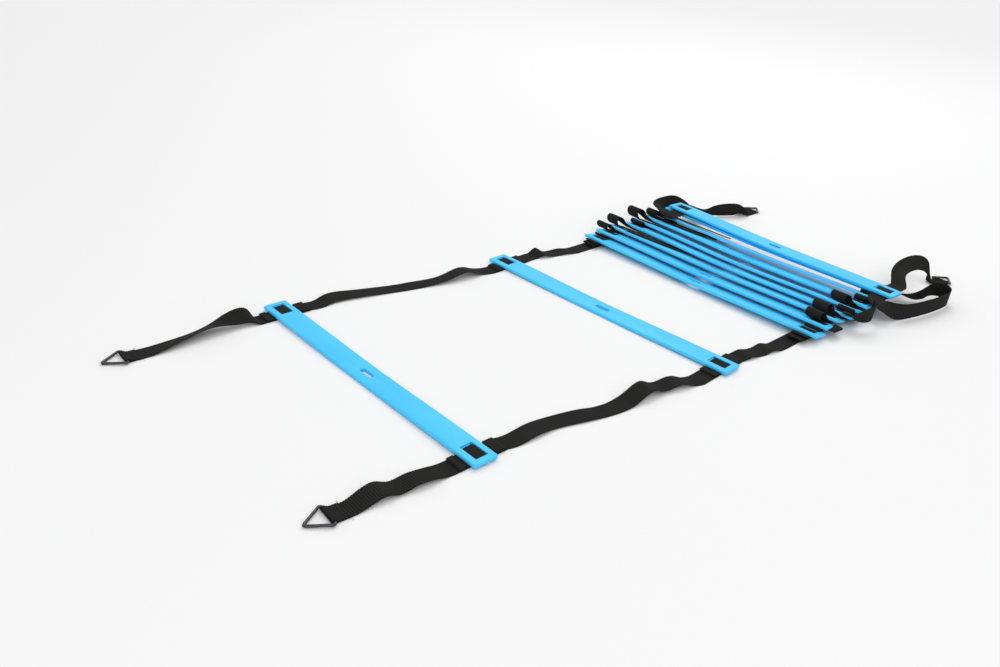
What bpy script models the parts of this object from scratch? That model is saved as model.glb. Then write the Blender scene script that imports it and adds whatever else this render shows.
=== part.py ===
"""Agility ladder: flat moulded rungs threaded on two webbing side straps.

Two rungs are laid out on the ground, and the other nine lie gathered in a leaning stack behind them,
with the straps folded between them. Every strap end carries a bent wire triangle.
X runs along the rungs, Y along the ladder towards the stack, and Z up from the ground.
"""

import math

import bmesh
import bpy
from mathutils import Matrix, Vector

# Moulded rung
RUNG_LENGTH = 0.430
RUNG_WIDTH = 0.0334
RUNG_THICKNESS = 0.0040
RUNG_CHAMFER = 0.0012
RUNG_CORNER = 0.0025
CORNER_STEPS = 3
SAG_CUTS = 7
WINDOW_WIDTH = 0.0170
WINDOW_END_WALL = 0.0080
WINDOW_SIDE_CLEARANCE = 0.0008
BAR_WIDTH = 0.0110
BAR_THICKNESS = 0.0020
BAR_LIFT = 0.0002
BAR_ROOT = 0.0010
SLOT_LENGTH = 0.0230
SLOT_WIDTH = 0.0080
SLOT_SIDES = 16

# Webbing of the side straps and of the keepers that hold the rungs
WEBBING_WIDTH = 0.0250
WEBBING_THICKNESS = 0.0010
SEAT_GAP = 0.0003
LAID_KEEPER_FRONT = 0.0125
LAID_KEEPER_BACK = 0.0180
KEEPER_HEM_END = 0.0040
KEEPER_HEM_REACH = 0.0080
HEM_TURN_STEPS = 4

# Wire triangles at the strap ends
WIRE_RADIUS = 0.0016
RING_SIDE = 0.0364
RING_REACH = 0.0300
RING_BEND = 0.0020
RING_BEND_STEPS = 3
WIRE_RESOLUTION = 2
LOOP_STEPS = 7
LOOP_START = -90
LOOP_SWEEP = 235
LOOP_HEM = 0.0160
LOOP_CLOSING = 0.0060

# Places of the laid out rungs, of the stack's first rung, and of the fold lines along the ladder
SECOND_RUNG_SIDE = 0.0446
SECOND_RUNG_SHARE = 0.69461
SECOND_RUNG_TURN = math.radians(2.7)
LAID_SAG = 0.0022
STACK_SIDE = 0.0790
STACK_BACK = 0.5380
NEAR_TAIL_LINE = -0.0365
FIRST_RUNG_LINE = 0.0365
SECOND_RUNG_FRONT_LEAD = 0.0447
SECOND_RUNG_BACK_LEAD = 0.0453
STACK_LINE_LEAD = 0.0410
STACK_DEPTH_SHARE = 7.1
FAR_TAIL_LEAD = 0.01736

# Folded straps in the stack
TURN_STEPS = 6
TUBE_STEPS = 10
HANG_START = -125
HANG_END = 110
OVER_START = 85
OVER_END = 15
OVER_STEPS = 3
ENTRY_DRIFT_SHARE = 0.25
EDGE_CLEARANCE = 0.0008
ENTRY_CLEARANCE = 0.0014
POCKET_BACK_REACH = 0.0116
POCKET_FRONT_LEAD = 0.0054
POCKET_FLOOR_RADIUS = 0.0021
TUBE_CLEARANCE = 0.0020
OVER_TURN_CLEARANCE = 0.0015
LEFT_START_SHIFT = -0.0044
RIGHT_START_SHIFT = -0.0088

# Ends of the strap tails, where the wire of each triangle lies: the near ones from the first rung's
# middle, and the far ones from the stack's middle and from the far tails' fold line
NEAR_LEFT_WIRE = (-0.1955, -0.2100)
NEAR_RIGHT_WIRE = (0.1835, -0.1730)
FAR_LEFT_WIRE_REACH = (-0.1570, 0.1455)
FAR_RIGHT_WIRE_REACH = (0.2125, 0.1455)
NEAR_LEFT_RING_TURN = math.radians(-3.3)
NEAR_RIGHT_RING_TURN = math.radians(-4.7)
FAR_LEFT_RING_TURN = math.radians(4.0)
FAR_RIGHT_RING_TURN = math.radians(-2.0)

# Sums of the sizes above
SECOND_RUNG_BACK = STACK_BACK * SECOND_RUNG_SHARE
SECOND_RUNG_FRONT_LINE = SECOND_RUNG_BACK - SECOND_RUNG_FRONT_LEAD
SECOND_RUNG_BACK_LINE = SECOND_RUNG_BACK + SECOND_RUNG_BACK_LEAD
STACK_LINE = STACK_BACK - STACK_LINE_LEAD
FAR_TAIL_LINE = STACK_BACK + STACK_DEPTH_SHARE * RUNG_WIDTH + FAR_TAIL_LEAD
POCKET_BACK = STACK_BACK + POCKET_BACK_REACH
POCKET_FRONT = STACK_BACK - POCKET_FRONT_LEAD
FAR_LEFT_WIRE = (STACK_SIDE + FAR_LEFT_WIRE_REACH[0], FAR_TAIL_LINE + FAR_LEFT_WIRE_REACH[1])
FAR_RIGHT_WIRE = (STACK_SIDE + FAR_RIGHT_WIRE_REACH[0], FAR_TAIL_LINE + FAR_RIGHT_WIRE_REACH[1])
HALF_WEB = WEBBING_THICKNESS / 2
LAYER = WEBBING_THICKNESS + SEAT_GAP
UNDER_RUNG = 2 * LAYER
STRAP_LEVEL = HALF_WEB - UNDER_RUNG
KEEPER_LEVEL = STRAP_LEVEL + LAYER
RETURN_LEVEL = RUNG_THICKNESS + SEAT_GAP + HALF_WEB
WINDOW_LENGTH = WEBBING_WIDTH + 2 * WINDOW_SIDE_CLEARANCE
WINDOW_MIDDLE = RUNG_LENGTH / 2 - WINDOW_END_WALL - WINDOW_LENGTH / 2
HALF_CUT = SEAT_GAP / 2
LOOP_RADIUS = WIRE_RADIUS + SEAT_GAP + HALF_WEB
WIRE_HEIGHT = WEBBING_THICKNESS + SEAT_GAP + WIRE_RADIUS

# Stacked rungs: side and back in rung widths from the first, lift and sag in rung thicknesses,
# then turn and tilt in degrees, and how far the keeper reaches past each edge in rung widths
STACKED_SHARES = (
    ("rung_03", -0.36, 0.720, 1.60, 0.60, 0.6, -10.4, 0.27, 0.00),
    ("rung_04", -0.39, 1.590, 2.32, 0.60, 0.9, -11.8, -0.05, -0.02),
    ("rung_05", -0.45, 2.450, 2.72, 0.60, 0.9, -16.6, -0.05, -0.02),
    ("rung_06", -0.21, 3.323, 2.88, 0.75, 0.0, -17.0, -0.05, -0.02),
    ("rung_07", -0.33, 4.177, 2.75, 0.85, 0.0, -20.0, -0.05, -0.02),
    ("rung_08", -0.27, 4.985, 3.24, 0.65, -0.3, -13.0, -0.05, -0.02),
    ("rung_09", -0.36, 5.823, 3.66, 0.62, 0.3, -20.0, -0.05, -0.02),
    ("rung_10", -0.03, 6.572, 5.32, 0.57, -0.8, -2.5, -0.05, -0.02),
    ("rung_11", 0.21, 6.422, 7.13, 0.57, -2.4, -1.0, -0.02, 0.36),
)

# Strap folds between the stacked rungs: tube radius and sideways shift in webbing widths,
# and the radius of the slack that hangs to the ground behind the rung, where there is one
LEFT_FOLD_SHARES = (
    (0.07, -0.30, 0.00),
    (0.20, -1.00, 0.12),
    (0.30, -1.00, 0.00),
    (0.16, -0.30, 0.17),
    (0.34, -1.20, 0.15),
    (0.24, -0.50, 0.16),
    (0.10, 0.44, 0.19),
)
RIGHT_FOLD_SHARES = (
    (0.07, 0.00, 0.00),
    (0.26, -0.50, 0.12),
    (0.30, -0.60, 0.00),
    (0.16, 0.00, 0.17),
    (0.28, -0.80, 0.15),
    (0.16, 0.00, 0.16),
    (0.08, 0.00, 0.19),
)

# Loose strap runs: share of the way along, shift to the right and lift in webbing widths,
# and bank in degrees
NEAR_LEFT_TAIL_SHARES = (
    (0.00, 0.00, 0.00, 0),
    (0.02, -0.01, 0.08, -8),
    (0.05, -0.03, 0.34, -26),
    (0.10, -0.09, 0.48, -34),
    (0.17, -0.15, 0.46, -26),
    (0.24, -0.18, 0.41, -8),
    (0.32, -0.18, 0.35, 12),
    (0.41, -0.14, 0.30, 23),
    (0.53, -0.05, 0.23, 23),
    (0.67, 0.02, 0.14, 14),
    (0.79, 0.05, 0.04, 5),
    (0.87, 0.03, 0.00, 0),
    (0.94, 0.01, 0.00, 0),
    (1.00, 0.00, 0.00, 0),
)
NEAR_RIGHT_TAIL_SHARES = (
    (0.00, 0.00, 0.00, 0),
    (0.06, 0.00, 0.01, 0),
    (0.17, 0.04, 0.16, 3),
    (0.32, 0.02, 0.22, 3),
    (0.46, -0.02, 0.08, 0),
    (0.58, -0.05, 0.30, -6),
    (0.68, -0.05, 0.22, -8),
    (0.82, 0.00, 0.02, 0),
    (0.92, 0.00, 0.00, 0),
    (1.00, 0.00, 0.00, 0),
)
BAY_ONE_LEFT_SHARES = (
    (0.00, 0.00, 0.00, 0),
    (0.05, 0.00, 0.01, 0),
    (0.14, -0.24, 0.14, -6),
    (0.28, -0.20, 0.08, 0),
    (0.44, -0.06, 0.00, 0),
    (0.50, 0.00, 0.00, 0),
    (0.56, 0.02, 0.00, 0),
    (0.70, 0.12, 0.12, 8),
    (0.83, 0.04, 0.40, 4),
    (0.92, -0.04, 0.08, 0),
    (0.97, 0.00, 0.00, 0),
    (1.00, 0.00, 0.00, 0),
)
BAY_ONE_RIGHT_SHARES = (
    (0.00, 0.00, 0.00, 0),
    (0.05, 0.04, 0.01, 0),
    (0.15, -0.10, 0.14, 0),
    (0.25, -0.24, 0.04, 0),
    (0.38, -0.04, 0.08, -4),
    (0.46, 0.04, 0.01, 0),
    (0.50, 0.06, 0.00, 0),
    (0.54, 0.06, 0.00, 0),
    (0.62, -0.02, 0.12, -6),
    (0.72, -0.20, 0.46, -6),
    (0.80, -0.22, 0.14, 0),
    (0.89, -0.16, 0.28, 0),
    (0.96, -0.06, 0.01, 0),
    (1.00, 0.00, 0.00, 0),
)
BAY_TWO_LEFT_SHARES = (
    (0.00, 0.00, 0.00, 0),
    (0.07, -0.01, 0.02, 0),
    (0.20, 0.02, 0.30, -8),
    (0.34, 0.06, 0.08, 0),
    (0.46, 0.02, 0.00, 0),
    (0.54, 0.00, 0.00, 0),
    (0.74, 0.02, 0.08, 0),
    (0.92, 0.00, 0.00, 0),
    (1.00, 0.00, 0.00, 0),
)
BAY_TWO_RIGHT_SHARES = (
    (0.00, 0.00, 0.00, 0),
    (0.08, 0.00, 0.01, 0),
    (0.24, 0.02, 0.14, 0),
    (0.40, 0.00, 0.02, 0),
    (0.50, 0.00, 0.00, 0),
    (0.60, 0.00, 0.02, 0),
    (0.76, -0.02, 0.14, 0),
    (0.92, 0.00, 0.00, 0),
    (1.00, 0.00, 0.00, 0),
)

# Far tails, and the loops that pass round the ends of the stack's two top rungs: shift right, back
# and up from the last rung's far fold line in webbing widths, then turn and bank in degrees
FAR_LEFT_TAIL_SHARES = (
    (0.00, 0.01, 0.00, 0, 0),
    (0.02, 0.26, -0.02, 0, 0),
    (0.04, 0.72, -0.22, -4, 14),
    (0.12, 1.30, -0.40, -16, 40),
    (0.24, 1.90, -0.48, -28, 62),
    (0.42, 2.48, -0.50, -36, 76),
    (0.62, 3.02, -0.51, -40, 84),
    (0.88, 3.52, -0.51, -42, 86),
    (1.12, 3.96, -0.52, -32, 76),
    (1.24, 4.34, -0.66, -14, 44),
    (1.24, 4.66, -0.94, 0, 12),
    (1.20, 4.98, -1.10, 3, 0),
    (1.19, 5.38, -1.10, 4, 0),
)
FAR_RIGHT_TAIL_SHARES = (
    (0.00, 0.01, 0.00, 0, 0),
    (-0.16, 0.34, 0.10, 10, -6),
    (-0.56, 1.00, 0.32, 14, -18),
    (-0.80, 1.90, 0.42, 4, -36),
    (-0.80, 2.90, 0.48, -6, -50),
    (-0.66, 3.90, 0.42, -16, -58),
    (-0.40, 4.60, 0.20, -30, -62),
    (-0.10, 4.84, -0.18, -40, -58),
    (0.12, 4.86, -0.66, -36, -28),
    (0.28, 4.96, -1.06, -14, -2),
    (0.42, 5.40, -1.10, -2, 0),
)
LEFT_LOOP_SHARES = (
    (-0.36, -0.42, -0.30, 12, 4),
    (-0.62, -0.24, -0.28, 42, 16),
    (-1.02, -0.18, -0.16, 84, 40),
    (-1.38, -0.34, 0.00, 128, 62),
    (-1.58, -0.60, 0.06, 162, 68),
    (-1.62, -1.20, 0.10, 178, 66),
    (-1.58, -1.84, 0.13, 190, 58),
    (-1.40, -2.44, 0.20, 206, 38),
    (-0.96, -3.00, 0.34, 212, 14),
    (-0.38, -3.36, 0.40, 206, 4),
    (0.08, -3.64, 0.36, 196, 0),
    (0.26, -3.82, 0.24, 188, 0),
    (0.28, -3.70, 0.11, 184, 0),
    (0.22, -3.20, 0.07, 182, 0),
    (0.08, -2.70, 0.07, 180, 0),
    (-0.01, -2.20, 0.07, 180, 0),
)
RIGHT_LOOP_SHARES = (
    (-0.20, -0.48, -0.32, -20, 3),
    (0.16, -0.02, -0.38, -36, 14),
    (0.60, 0.44, -0.44, -36, 36),
    (0.94, 1.04, -0.46, -24, 66),
    (1.12, 1.70, -0.40, -10, 84),
    (1.20, 2.30, -0.34, -14, 80),
    (1.46, 2.80, -0.36, -50, 80),
    (1.86, 2.96, -0.42, -100, 86),
    (2.20, 2.66, -0.46, -150, 90),
    (2.36, 2.06, -0.46, -184, 90),
    (2.30, 1.06, -0.46, -190, 90),
    (2.14, -0.10, -0.46, -194, 90),
    (1.90, -1.20, -0.46, -198, 90),
    (1.60, -2.20, -0.46, -204, 86),
    (1.24, -3.00, -0.34, -218, 62),
    (0.88, -3.46, -0.10, -246, 28),
    (0.50, -3.56, 0.02, -282, 6),
    (0.18, -3.34, 0.05, -325, 0),
    (0.03, -2.98, 0.05, -355, 0),
)

# Stations along each loose run
TAIL_STEPS = 26
BAY_ONE_STEPS = 36
BAY_TWO_STEPS = 20
LOOP_RUN_STEPS = 40

# Finishes
RUNG_COLOUR = (0.045, 0.42, 0.95, 1.0)
WEBBING_COLOUR = (0.020, 0.020, 0.019, 1.0)
WIRE_COLOUR = (0.028, 0.026, 0.032, 1.0)
RUNG_ROUGHNESS = 0.35
WEBBING_ROUGHNESS = 0.85
WIRE_ROUGHNESS = 0.30
WIRE_METALLIC = 0.6

PART_NAME = "agility_ladder"
CUTTER_NAME = "agility_ladder_cutters"
LEFT = -1
RIGHT = 1
HAND_NAMES = {LEFT: "left", RIGHT: "right"}
HALF_SHARE = 0.5

# Tables of each side
FOLD_SHARES = {LEFT: LEFT_FOLD_SHARES, RIGHT: RIGHT_FOLD_SHARES}
LOOP_SHARES = {LEFT: LEFT_LOOP_SHARES, RIGHT: RIGHT_LOOP_SHARES}
START_SHIFTS = {LEFT: LEFT_START_SHIFT, RIGHT: RIGHT_START_SHIFT}
BAY_ONE_SHARES = {LEFT: BAY_ONE_LEFT_SHARES, RIGHT: BAY_ONE_RIGHT_SHARES}
BAY_TWO_SHARES = {LEFT: BAY_TWO_LEFT_SHARES, RIGHT: BAY_TWO_RIGHT_SHARES}
NEAR_TAIL_SHARES = {LEFT: NEAR_LEFT_TAIL_SHARES, RIGHT: NEAR_RIGHT_TAIL_SHARES}
FAR_TAIL_SHARES = {LEFT: FAR_LEFT_TAIL_SHARES, RIGHT: FAR_RIGHT_TAIL_SHARES}
NEAR_WIRES = {LEFT: NEAR_LEFT_WIRE, RIGHT: NEAR_RIGHT_WIRE}
FAR_WIRES = {LEFT: FAR_LEFT_WIRE, RIGHT: FAR_RIGHT_WIRE}
NEAR_TURNS = {LEFT: NEAR_LEFT_RING_TURN, RIGHT: NEAR_RIGHT_RING_TURN}
FAR_TURNS = {LEFT: FAR_LEFT_RING_TURN, RIGHT: FAR_RIGHT_RING_TURN}


def clear_scene():
    """Remove every object that a new file holds."""
    for found in list(bpy.data.objects):
        bpy.data.objects.remove(found, do_unlink=True)


def new_collection(name):
    """Add an empty collection to the scene."""
    collection = bpy.data.collections.new(name)
    bpy.context.scene.collection.children.link(collection)
    return collection


def new_material(name, colour, roughness, metallic=0.0):
    """Make a plain Principled material."""
    material = bpy.data.materials.new(name)
    material.use_nodes = True
    shader = material.node_tree.nodes["Principled BSDF"]
    shader.inputs["Base Color"].default_value = colour
    shader.inputs["Roughness"].default_value = roughness
    shader.inputs["Metallic"].default_value = metallic
    return material


class Kit:
    """The collections, the materials and the top empty that every piece uses."""

    def __init__(self):
        self.parts = new_collection(PART_NAME)
        self.cutters = new_collection(CUTTER_NAME)
        self.plastic = new_material("rung_plastic", RUNG_COLOUR, RUNG_ROUGHNESS)
        self.webbing = new_material("strap_webbing", WEBBING_COLOUR, WEBBING_ROUGHNESS)
        self.wire = new_material("coated_wire", WIRE_COLOUR, WIRE_ROUGHNESS, WIRE_METALLIC)
        self.ladder = self.empty("ladder_frame", None, Vector())

    def empty(self, name, parent, point):
        """An empty on a joint's axis, placed at a point of the ladder's frame."""
        mark = bpy.data.objects.new(name, None)
        self.parts.objects.link(mark)
        mark.parent = parent
        mark.location = point - origin_of(parent)
        return mark

    def piece(self, name, mesh, material, parent):
        """A named object whose mesh is given in the ladder's frame."""
        mesh.name = name
        mesh.transform(Matrix.Translation(-origin_of(parent)))
        mesh.materials.clear()
        mesh.materials.append(material)
        made = bpy.data.objects.new(name, mesh)
        self.parts.objects.link(made)
        made.parent = parent
        return made


def origin_of(mark):
    """An unturned empty's place in the ladder's frame."""
    place = Vector()
    while mark is not None:
        place = place + mark.location
        mark = mark.parent
    return place


def finished_mesh(holder):
    """The evaluated mesh of a working object, which is then removed."""
    graph = bpy.context.evaluated_depsgraph_get()
    mesh = bpy.data.meshes.new_from_object(holder.evaluated_get(graph))
    bpy.data.objects.remove(holder, do_unlink=True)
    return mesh


def rung_blank():
    """The flat rung before its bars and slot: rounded corners, two windows, chamfered top edge."""
    blank = bmesh.new()
    bmesh.ops.create_grid(blank, x_segments=1, y_segments=1, size=HALF_SHARE)
    bmesh.ops.scale(blank, vec=(RUNG_LENGTH, RUNG_WIDTH, 1), verts=blank.verts)
    corners = {"offset": RUNG_CORNER, "segments": CORNER_STEPS, "affect": "VERTICES"}
    bmesh.ops.bevel(blank, geom=blank.verts[:], profile=HALF_SHARE, **corners)
    reach = WINDOW_MIDDLE - WINDOW_LENGTH / 2
    cuts = [(Vector((0, hand * WINDOW_WIDTH / 2, 0)), Vector((0, 1, 0))) for hand in (LEFT, RIGHT)]
    for hand in (LEFT, RIGHT):
        for edge in (LEFT, RIGHT):
            place = hand * WINDOW_MIDDLE + edge * WINDOW_LENGTH / 2
            cuts.append((Vector((place, 0, 0)), Vector((1, 0, 0))))
    for number in range(1, SAG_CUTS + 1):
        place = reach * (2 * number / (SAG_CUTS + 1) - 1)
        cuts.append((Vector((place, 0, 0)), Vector((1, 0, 0))))
    for place, across in cuts:
        everything = blank.verts[:] + blank.edges[:] + blank.faces[:]
        bmesh.ops.bisect_plane(blank, geom=everything, plane_co=place, plane_no=across)
    holes = [face for face in blank.faces if in_window(face.calc_center_median())]
    bmesh.ops.delete(blank, geom=holes, context="FACES")
    lifted = bmesh.ops.extrude_face_region(blank, geom=blank.faces[:])
    raised = [item for item in lifted["geom"] if isinstance(item, bmesh.types.BMVert)]
    bmesh.ops.translate(blank, vec=(0, 0, RUNG_THICKNESS), verts=raised)
    bmesh.ops.recalc_face_normals(blank, faces=blank.faces[:])
    rim = [edge for edge in blank.edges if on_top_rim(edge)]
    bmesh.ops.bevel(blank, geom=rim, offset=RUNG_CHAMFER, segments=1, affect="EDGES", profile=HALF_SHARE)
    mesh = bpy.data.meshes.new("rung_blank")
    blank.to_mesh(mesh)
    blank.free()
    return mesh


def in_window(point):
    """Whether a point lies in one of the two end windows."""
    beside = abs(abs(point.x) - WINDOW_MIDDLE) < WINDOW_LENGTH / 2
    return beside and abs(point.y) < WINDOW_WIDTH / 2


def on_top_rim(edge):
    """Whether an edge runs along the rung's outer outline on its top face."""
    if min(vert.co.z for vert in edge.verts) < RUNG_THICKNESS / 2:
        return False
    if not any(abs(face.normal.z) < HALF_SHARE for face in edge.link_faces):
        return False
    middle = (edge.verts[0].co + edge.verts[1].co) / 2
    beyond_end = abs(middle.x) > WINDOW_MIDDLE + WINDOW_LENGTH / 2 + WINDOW_END_WALL / 2
    return beyond_end or abs(middle.y) > (RUNG_WIDTH + WINDOW_WIDTH) / 4


def box_cutter(kit, name, size, middle):
    """A hidden box that is joined to the rung or cut from it."""
    bpy.ops.mesh.primitive_cube_add(size=1, location=middle)
    box = bpy.context.object
    box.name = name
    box.scale = size
    return hide_cutter(kit, box)


def hide_cutter(kit, cutter):
    """Keep a cutter out of the model."""
    for holder in list(cutter.users_collection):
        holder.objects.unlink(cutter)
    kit.cutters.objects.link(cutter)
    cutter.hide_render = True
    cutter.display_type = "WIRE"
    return cutter


def slot_cutter(kit):
    """The long round-ended slot in the rung's middle."""
    slot = bmesh.new()
    bmesh.ops.create_cone(
        slot, cap_ends=True, segments=SLOT_SIDES, radius1=SLOT_WIDTH / 2, radius2=SLOT_WIDTH / 2,
        depth=4 * RUNG_THICKNESS,
    )
    for vert in slot.verts:
        vert.co.x += math.copysign((SLOT_LENGTH - SLOT_WIDTH) / 2, vert.co.x)
    mesh = bpy.data.meshes.new("slot_cutter")
    slot.to_mesh(mesh)
    slot.free()
    cutter = bpy.data.objects.new("slot_cutter", mesh)
    kit.cutters.objects.link(cutter)
    return hide_cutter(kit, cutter)


def flat_rung_mesh(kit):
    """The finished rung, still flat, with the two threading bars and the middle slot."""
    work = bpy.data.objects.new("rung_work", rung_blank())
    kit.parts.objects.link(work)
    bar_size = (WINDOW_LENGTH + 2 * BAR_ROOT, BAR_WIDTH, BAR_THICKNESS)
    for hand in (LEFT, RIGHT):
        middle = (hand * WINDOW_MIDDLE, 0, BAR_LIFT + BAR_THICKNESS / 2)
        bar = box_cutter(kit, "bar_" + HAND_NAMES[hand], bar_size, middle)
        joined = work.modifiers.new("bar_" + HAND_NAMES[hand], "BOOLEAN")
        joined.operation = "UNION"
        joined.object = bar
    slotted = work.modifiers.new("slot", "BOOLEAN")
    slotted.operation = "DIFFERENCE"
    slotted.object = slot_cutter(kit)
    bpy.context.view_layer.update()
    return finished_mesh(work)


def sag_at(side, sag):
    """How far the rung hangs below its ends, level at the ends and lowest in the middle."""
    reach = WINDOW_MIDDLE - WINDOW_LENGTH / 2
    share = min(abs(side) / reach, 1)
    return sag * (1 + math.cos(math.pi * share)) / 2


def rung_matrix(side, back, lift, turn, tilt):
    """A rung's place: its middle's underside, its turn about Z and its lean about its length."""
    place = Matrix.Translation(Vector((side, back, lift)))
    return place @ Matrix.Rotation(turn, 4, "Z") @ Matrix.Rotation(tilt, 4, "X")


def add_rung(kit, name, flat, parent, place, sag):
    """One sagging copy of the rung."""
    mesh = flat.copy()
    for vert in mesh.vertices:
        vert.co.z -= sag_at(vert.co.x, sag)
    mesh.transform(place)
    return kit.piece(name, mesh, kit.plastic, parent)


def across_vector(turn, bank):
    """The direction across the webbing, turned about Z and then banked up on its right."""
    level = math.cos(bank)
    return Vector((math.cos(turn) * level, math.sin(turn) * level, math.sin(bank)))


def ribbon_mesh(stations):
    """Webbing along stations, each a middle point and a direction across."""
    strip = bmesh.new()
    count = len(stations) - 1
    bmesh.ops.create_grid(strip, x_segments=1, y_segments=count, size=HALF_SHARE)
    for vert in strip.verts:
        middle, across = stations[round((vert.co.y + HALF_SHARE) * count)]
        vert.co = middle + across * math.copysign(WEBBING_WIDTH / 2, vert.co.x)
    bare = bpy.data.meshes.new("strip")
    strip.to_mesh(bare)
    strip.free()
    return bare


def add_ribbon(kit, name, parent, stations):
    """A closed length of webbing."""
    ribbon = kit.piece(name, ribbon_mesh(stations), kit.webbing, parent)
    thick = ribbon.modifiers.new("webbing", "SOLIDIFY")
    thick.thickness = WEBBING_THICKNESS
    thick.offset = 0
    return ribbon


def smooth_rows(rows, steps):
    """Rows of numbers read along a smooth curve through the given rows."""
    ends = [rows[0]] + list(rows) + [rows[-1]]
    spans = len(rows) - 1
    made = []
    for number in range(steps + 1):
        place = spans * number / steps
        span = min(int(place), spans - 1)
        made.append(smooth_between(ends[span:span + 4], place - span))
    return made


def smooth_between(four, share):
    """One row of a Catmull-Rom span."""
    before, start, end, after = four
    row = []
    for one, two, three, four_th in zip(before, start, end, after):
        linear = three - one
        squared = 2 * one - 5 * two + 4 * three - four_th
        cubed = 3 * two - one - 3 * three + four_th
        row.append((2 * two + linear * share + squared * share ** 2 + cubed * share ** 3) / 2)
    return row


def run_stations(start, end, shares, steps):
    """Stations of a loose run on the ground between two places."""
    stations = []
    for along, side, lift, bank in smooth_rows(shares, steps):
        banked = math.radians(bank)
        edge_drop = abs(math.sin(banked)) * WEBBING_WIDTH / 2
        height = max(HALF_WEB + lift * WEBBING_WIDTH, HALF_WEB + edge_drop)
        point = start.lerp(end, along)
        middle = Vector((point.x + side * WEBBING_WIDTH, point.y, height))
        stations.append((middle, across_vector(0, banked)))
    return stations


def half_run(stations, wanted, line):
    """The part of a run on one side of a fold line across the ladder, cut clear of it."""
    cut_line = line + wanted * HALF_CUT
    kept = [station for station in stations if wanted * (station[0].y - cut_line) > HALF_CUT]
    crossing = station_at(stations, cut_line)
    return [crossing] + kept if wanted > 0 else kept + [crossing]


def station_at(stations, line):
    """The station where a run along the ladder crosses a line."""
    for before, after in zip(stations, stations[1:]):
        if before[0].y <= line <= after[0].y:
            share = (line - before[0].y) / (after[0].y - before[0].y)
            middle = before[0].lerp(after[0], share)
            return middle, Vector((1, 0, 0))
    raise ValueError("the run does not cross the line")


def loop_stations(wire, turn, facing):
    """The strap's end round a ring's wire and back above itself; facing is 1 for a strap at +Y."""
    across = across_vector(turn, 0)
    along = Vector((-across.y, across.x, 0)) * facing
    made = []
    for number in range(LOOP_STEPS + 1):
        angle = math.radians(LOOP_START - LOOP_SWEEP * number / LOOP_STEPS)
        out = Vector((0, 0, WIRE_HEIGHT + LOOP_RADIUS * math.sin(angle)))
        made.append((wire + along * (LOOP_RADIUS * math.cos(angle)) + out, across))
    hem_level = Vector((0, 0, HALF_WEB + LAYER))
    made.append((wire + along * LOOP_CLOSING + hem_level, across))
    made.append((wire + along * LOOP_HEM + hem_level, across))
    return made


def wire_point(place):
    """A ring wire's middle as a point on the ground."""
    return Vector((place[0], place[1], 0))


def ring_outline():
    """The triangle's centre line with bent corners, its strap side along X and its tip at -Y."""
    half = RING_SIDE / 2 - WIRE_RADIUS
    corners = [
        Vector((-half, 0, 0)),
        Vector((half, 0, 0)),
        Vector((0, 2 * WIRE_RADIUS - RING_REACH, 0)),
    ]
    points = []
    for number, corner in enumerate(corners):
        before = (corners[number - 1] - corner).normalized()
        after = (corners[(number + 1) % 3] - corner).normalized()
        half_angle = before.angle(after) / 2
        inward = (before + after).normalized()
        middle = corner + inward * (RING_BEND / math.sin(half_angle))
        start = corner + before * (RING_BEND / math.tan(half_angle)) - middle
        end = corner + after * (RING_BEND / math.tan(half_angle)) - middle
        for step in range(RING_BEND_STEPS + 1):
            points.append(middle + start.slerp(end, step / RING_BEND_STEPS) * RING_BEND)
    return points


def add_ring(kit, name, parent, wire, turn):
    """A closed triangle of bent wire, leaning with its tip on the ground."""
    points = ring_outline()
    curve = bpy.data.curves.new(name, "CURVE")
    curve.dimensions = "3D"
    curve.bevel_depth = WIRE_RADIUS
    curve.bevel_resolution = WIRE_RESOLUTION
    spline = curve.splines.new("POLY")
    spline.points.add(len(points) - 1)
    for target, point in zip(spline.points, points):
        target.co = (point.x, point.y, point.z, 1)
    spline.use_cyclic_u = True
    work = bpy.data.objects.new(name, curve)
    kit.parts.objects.link(work)
    bpy.context.view_layer.update()
    mesh = finished_mesh(work)
    lean = math.asin((WIRE_HEIGHT - WIRE_RADIUS) / (RING_REACH - 2 * WIRE_RADIUS))
    place = Matrix.Translation(wire + Vector((0, 0, WIRE_HEIGHT)))
    mesh.transform(place @ Matrix.Rotation(turn, 4, "Z") @ Matrix.Rotation(lean, 4, "X"))
    mesh.shade_smooth()
    return kit.piece(name, mesh, kit.wire, parent)


def keeper_profile(front, back):
    """The keeper's centre line over the bar, as places along and up from the rung's underside."""
    bar_top = BAR_LIFT + BAR_THICKNESS + SEAT_GAP + HALF_WEB
    crown = bar_top + SEAT_GAP / 2
    rise_start = WINDOW_WIDTH / 2 - HALF_WEB - LAYER / 3
    rise_end = BAR_WIDTH / 2 + LAYER
    half = [
        (WINDOW_WIDTH / 2, KEEPER_LEVEL),
        (rise_start, KEEPER_LEVEL + SEAT_GAP / 2),
        (rise_end, crown - LAYER / 3),
        (BAR_WIDTH / 2, crown),
    ]
    profile = hem_profile(front)
    profile = [(-along, up) for along, up in profile + half] + [(0, crown)]
    return profile + [(along, up) for along, up in reversed(hem_profile(back) + half)]


def hem_profile(reach):
    """One end of the keeper, folded back on itself where it is long enough."""
    end = RUNG_WIDTH / 2 + reach
    if reach < KEEPER_HEM_REACH:
        return [(end, KEEPER_LEVEL)]
    radius = LAYER / 2
    hem = [(RUNG_WIDTH / 2 + KEEPER_HEM_END, KEEPER_LEVEL + LAYER)]
    for step in range(HEM_TURN_STEPS + 1):
        angle = math.pi * (HALF_SHARE - step / HEM_TURN_STEPS)
        up = KEEPER_LEVEL + radius + radius * math.sin(angle)
        hem.append((end - radius + radius * math.cos(angle), up))
    return hem


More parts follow.
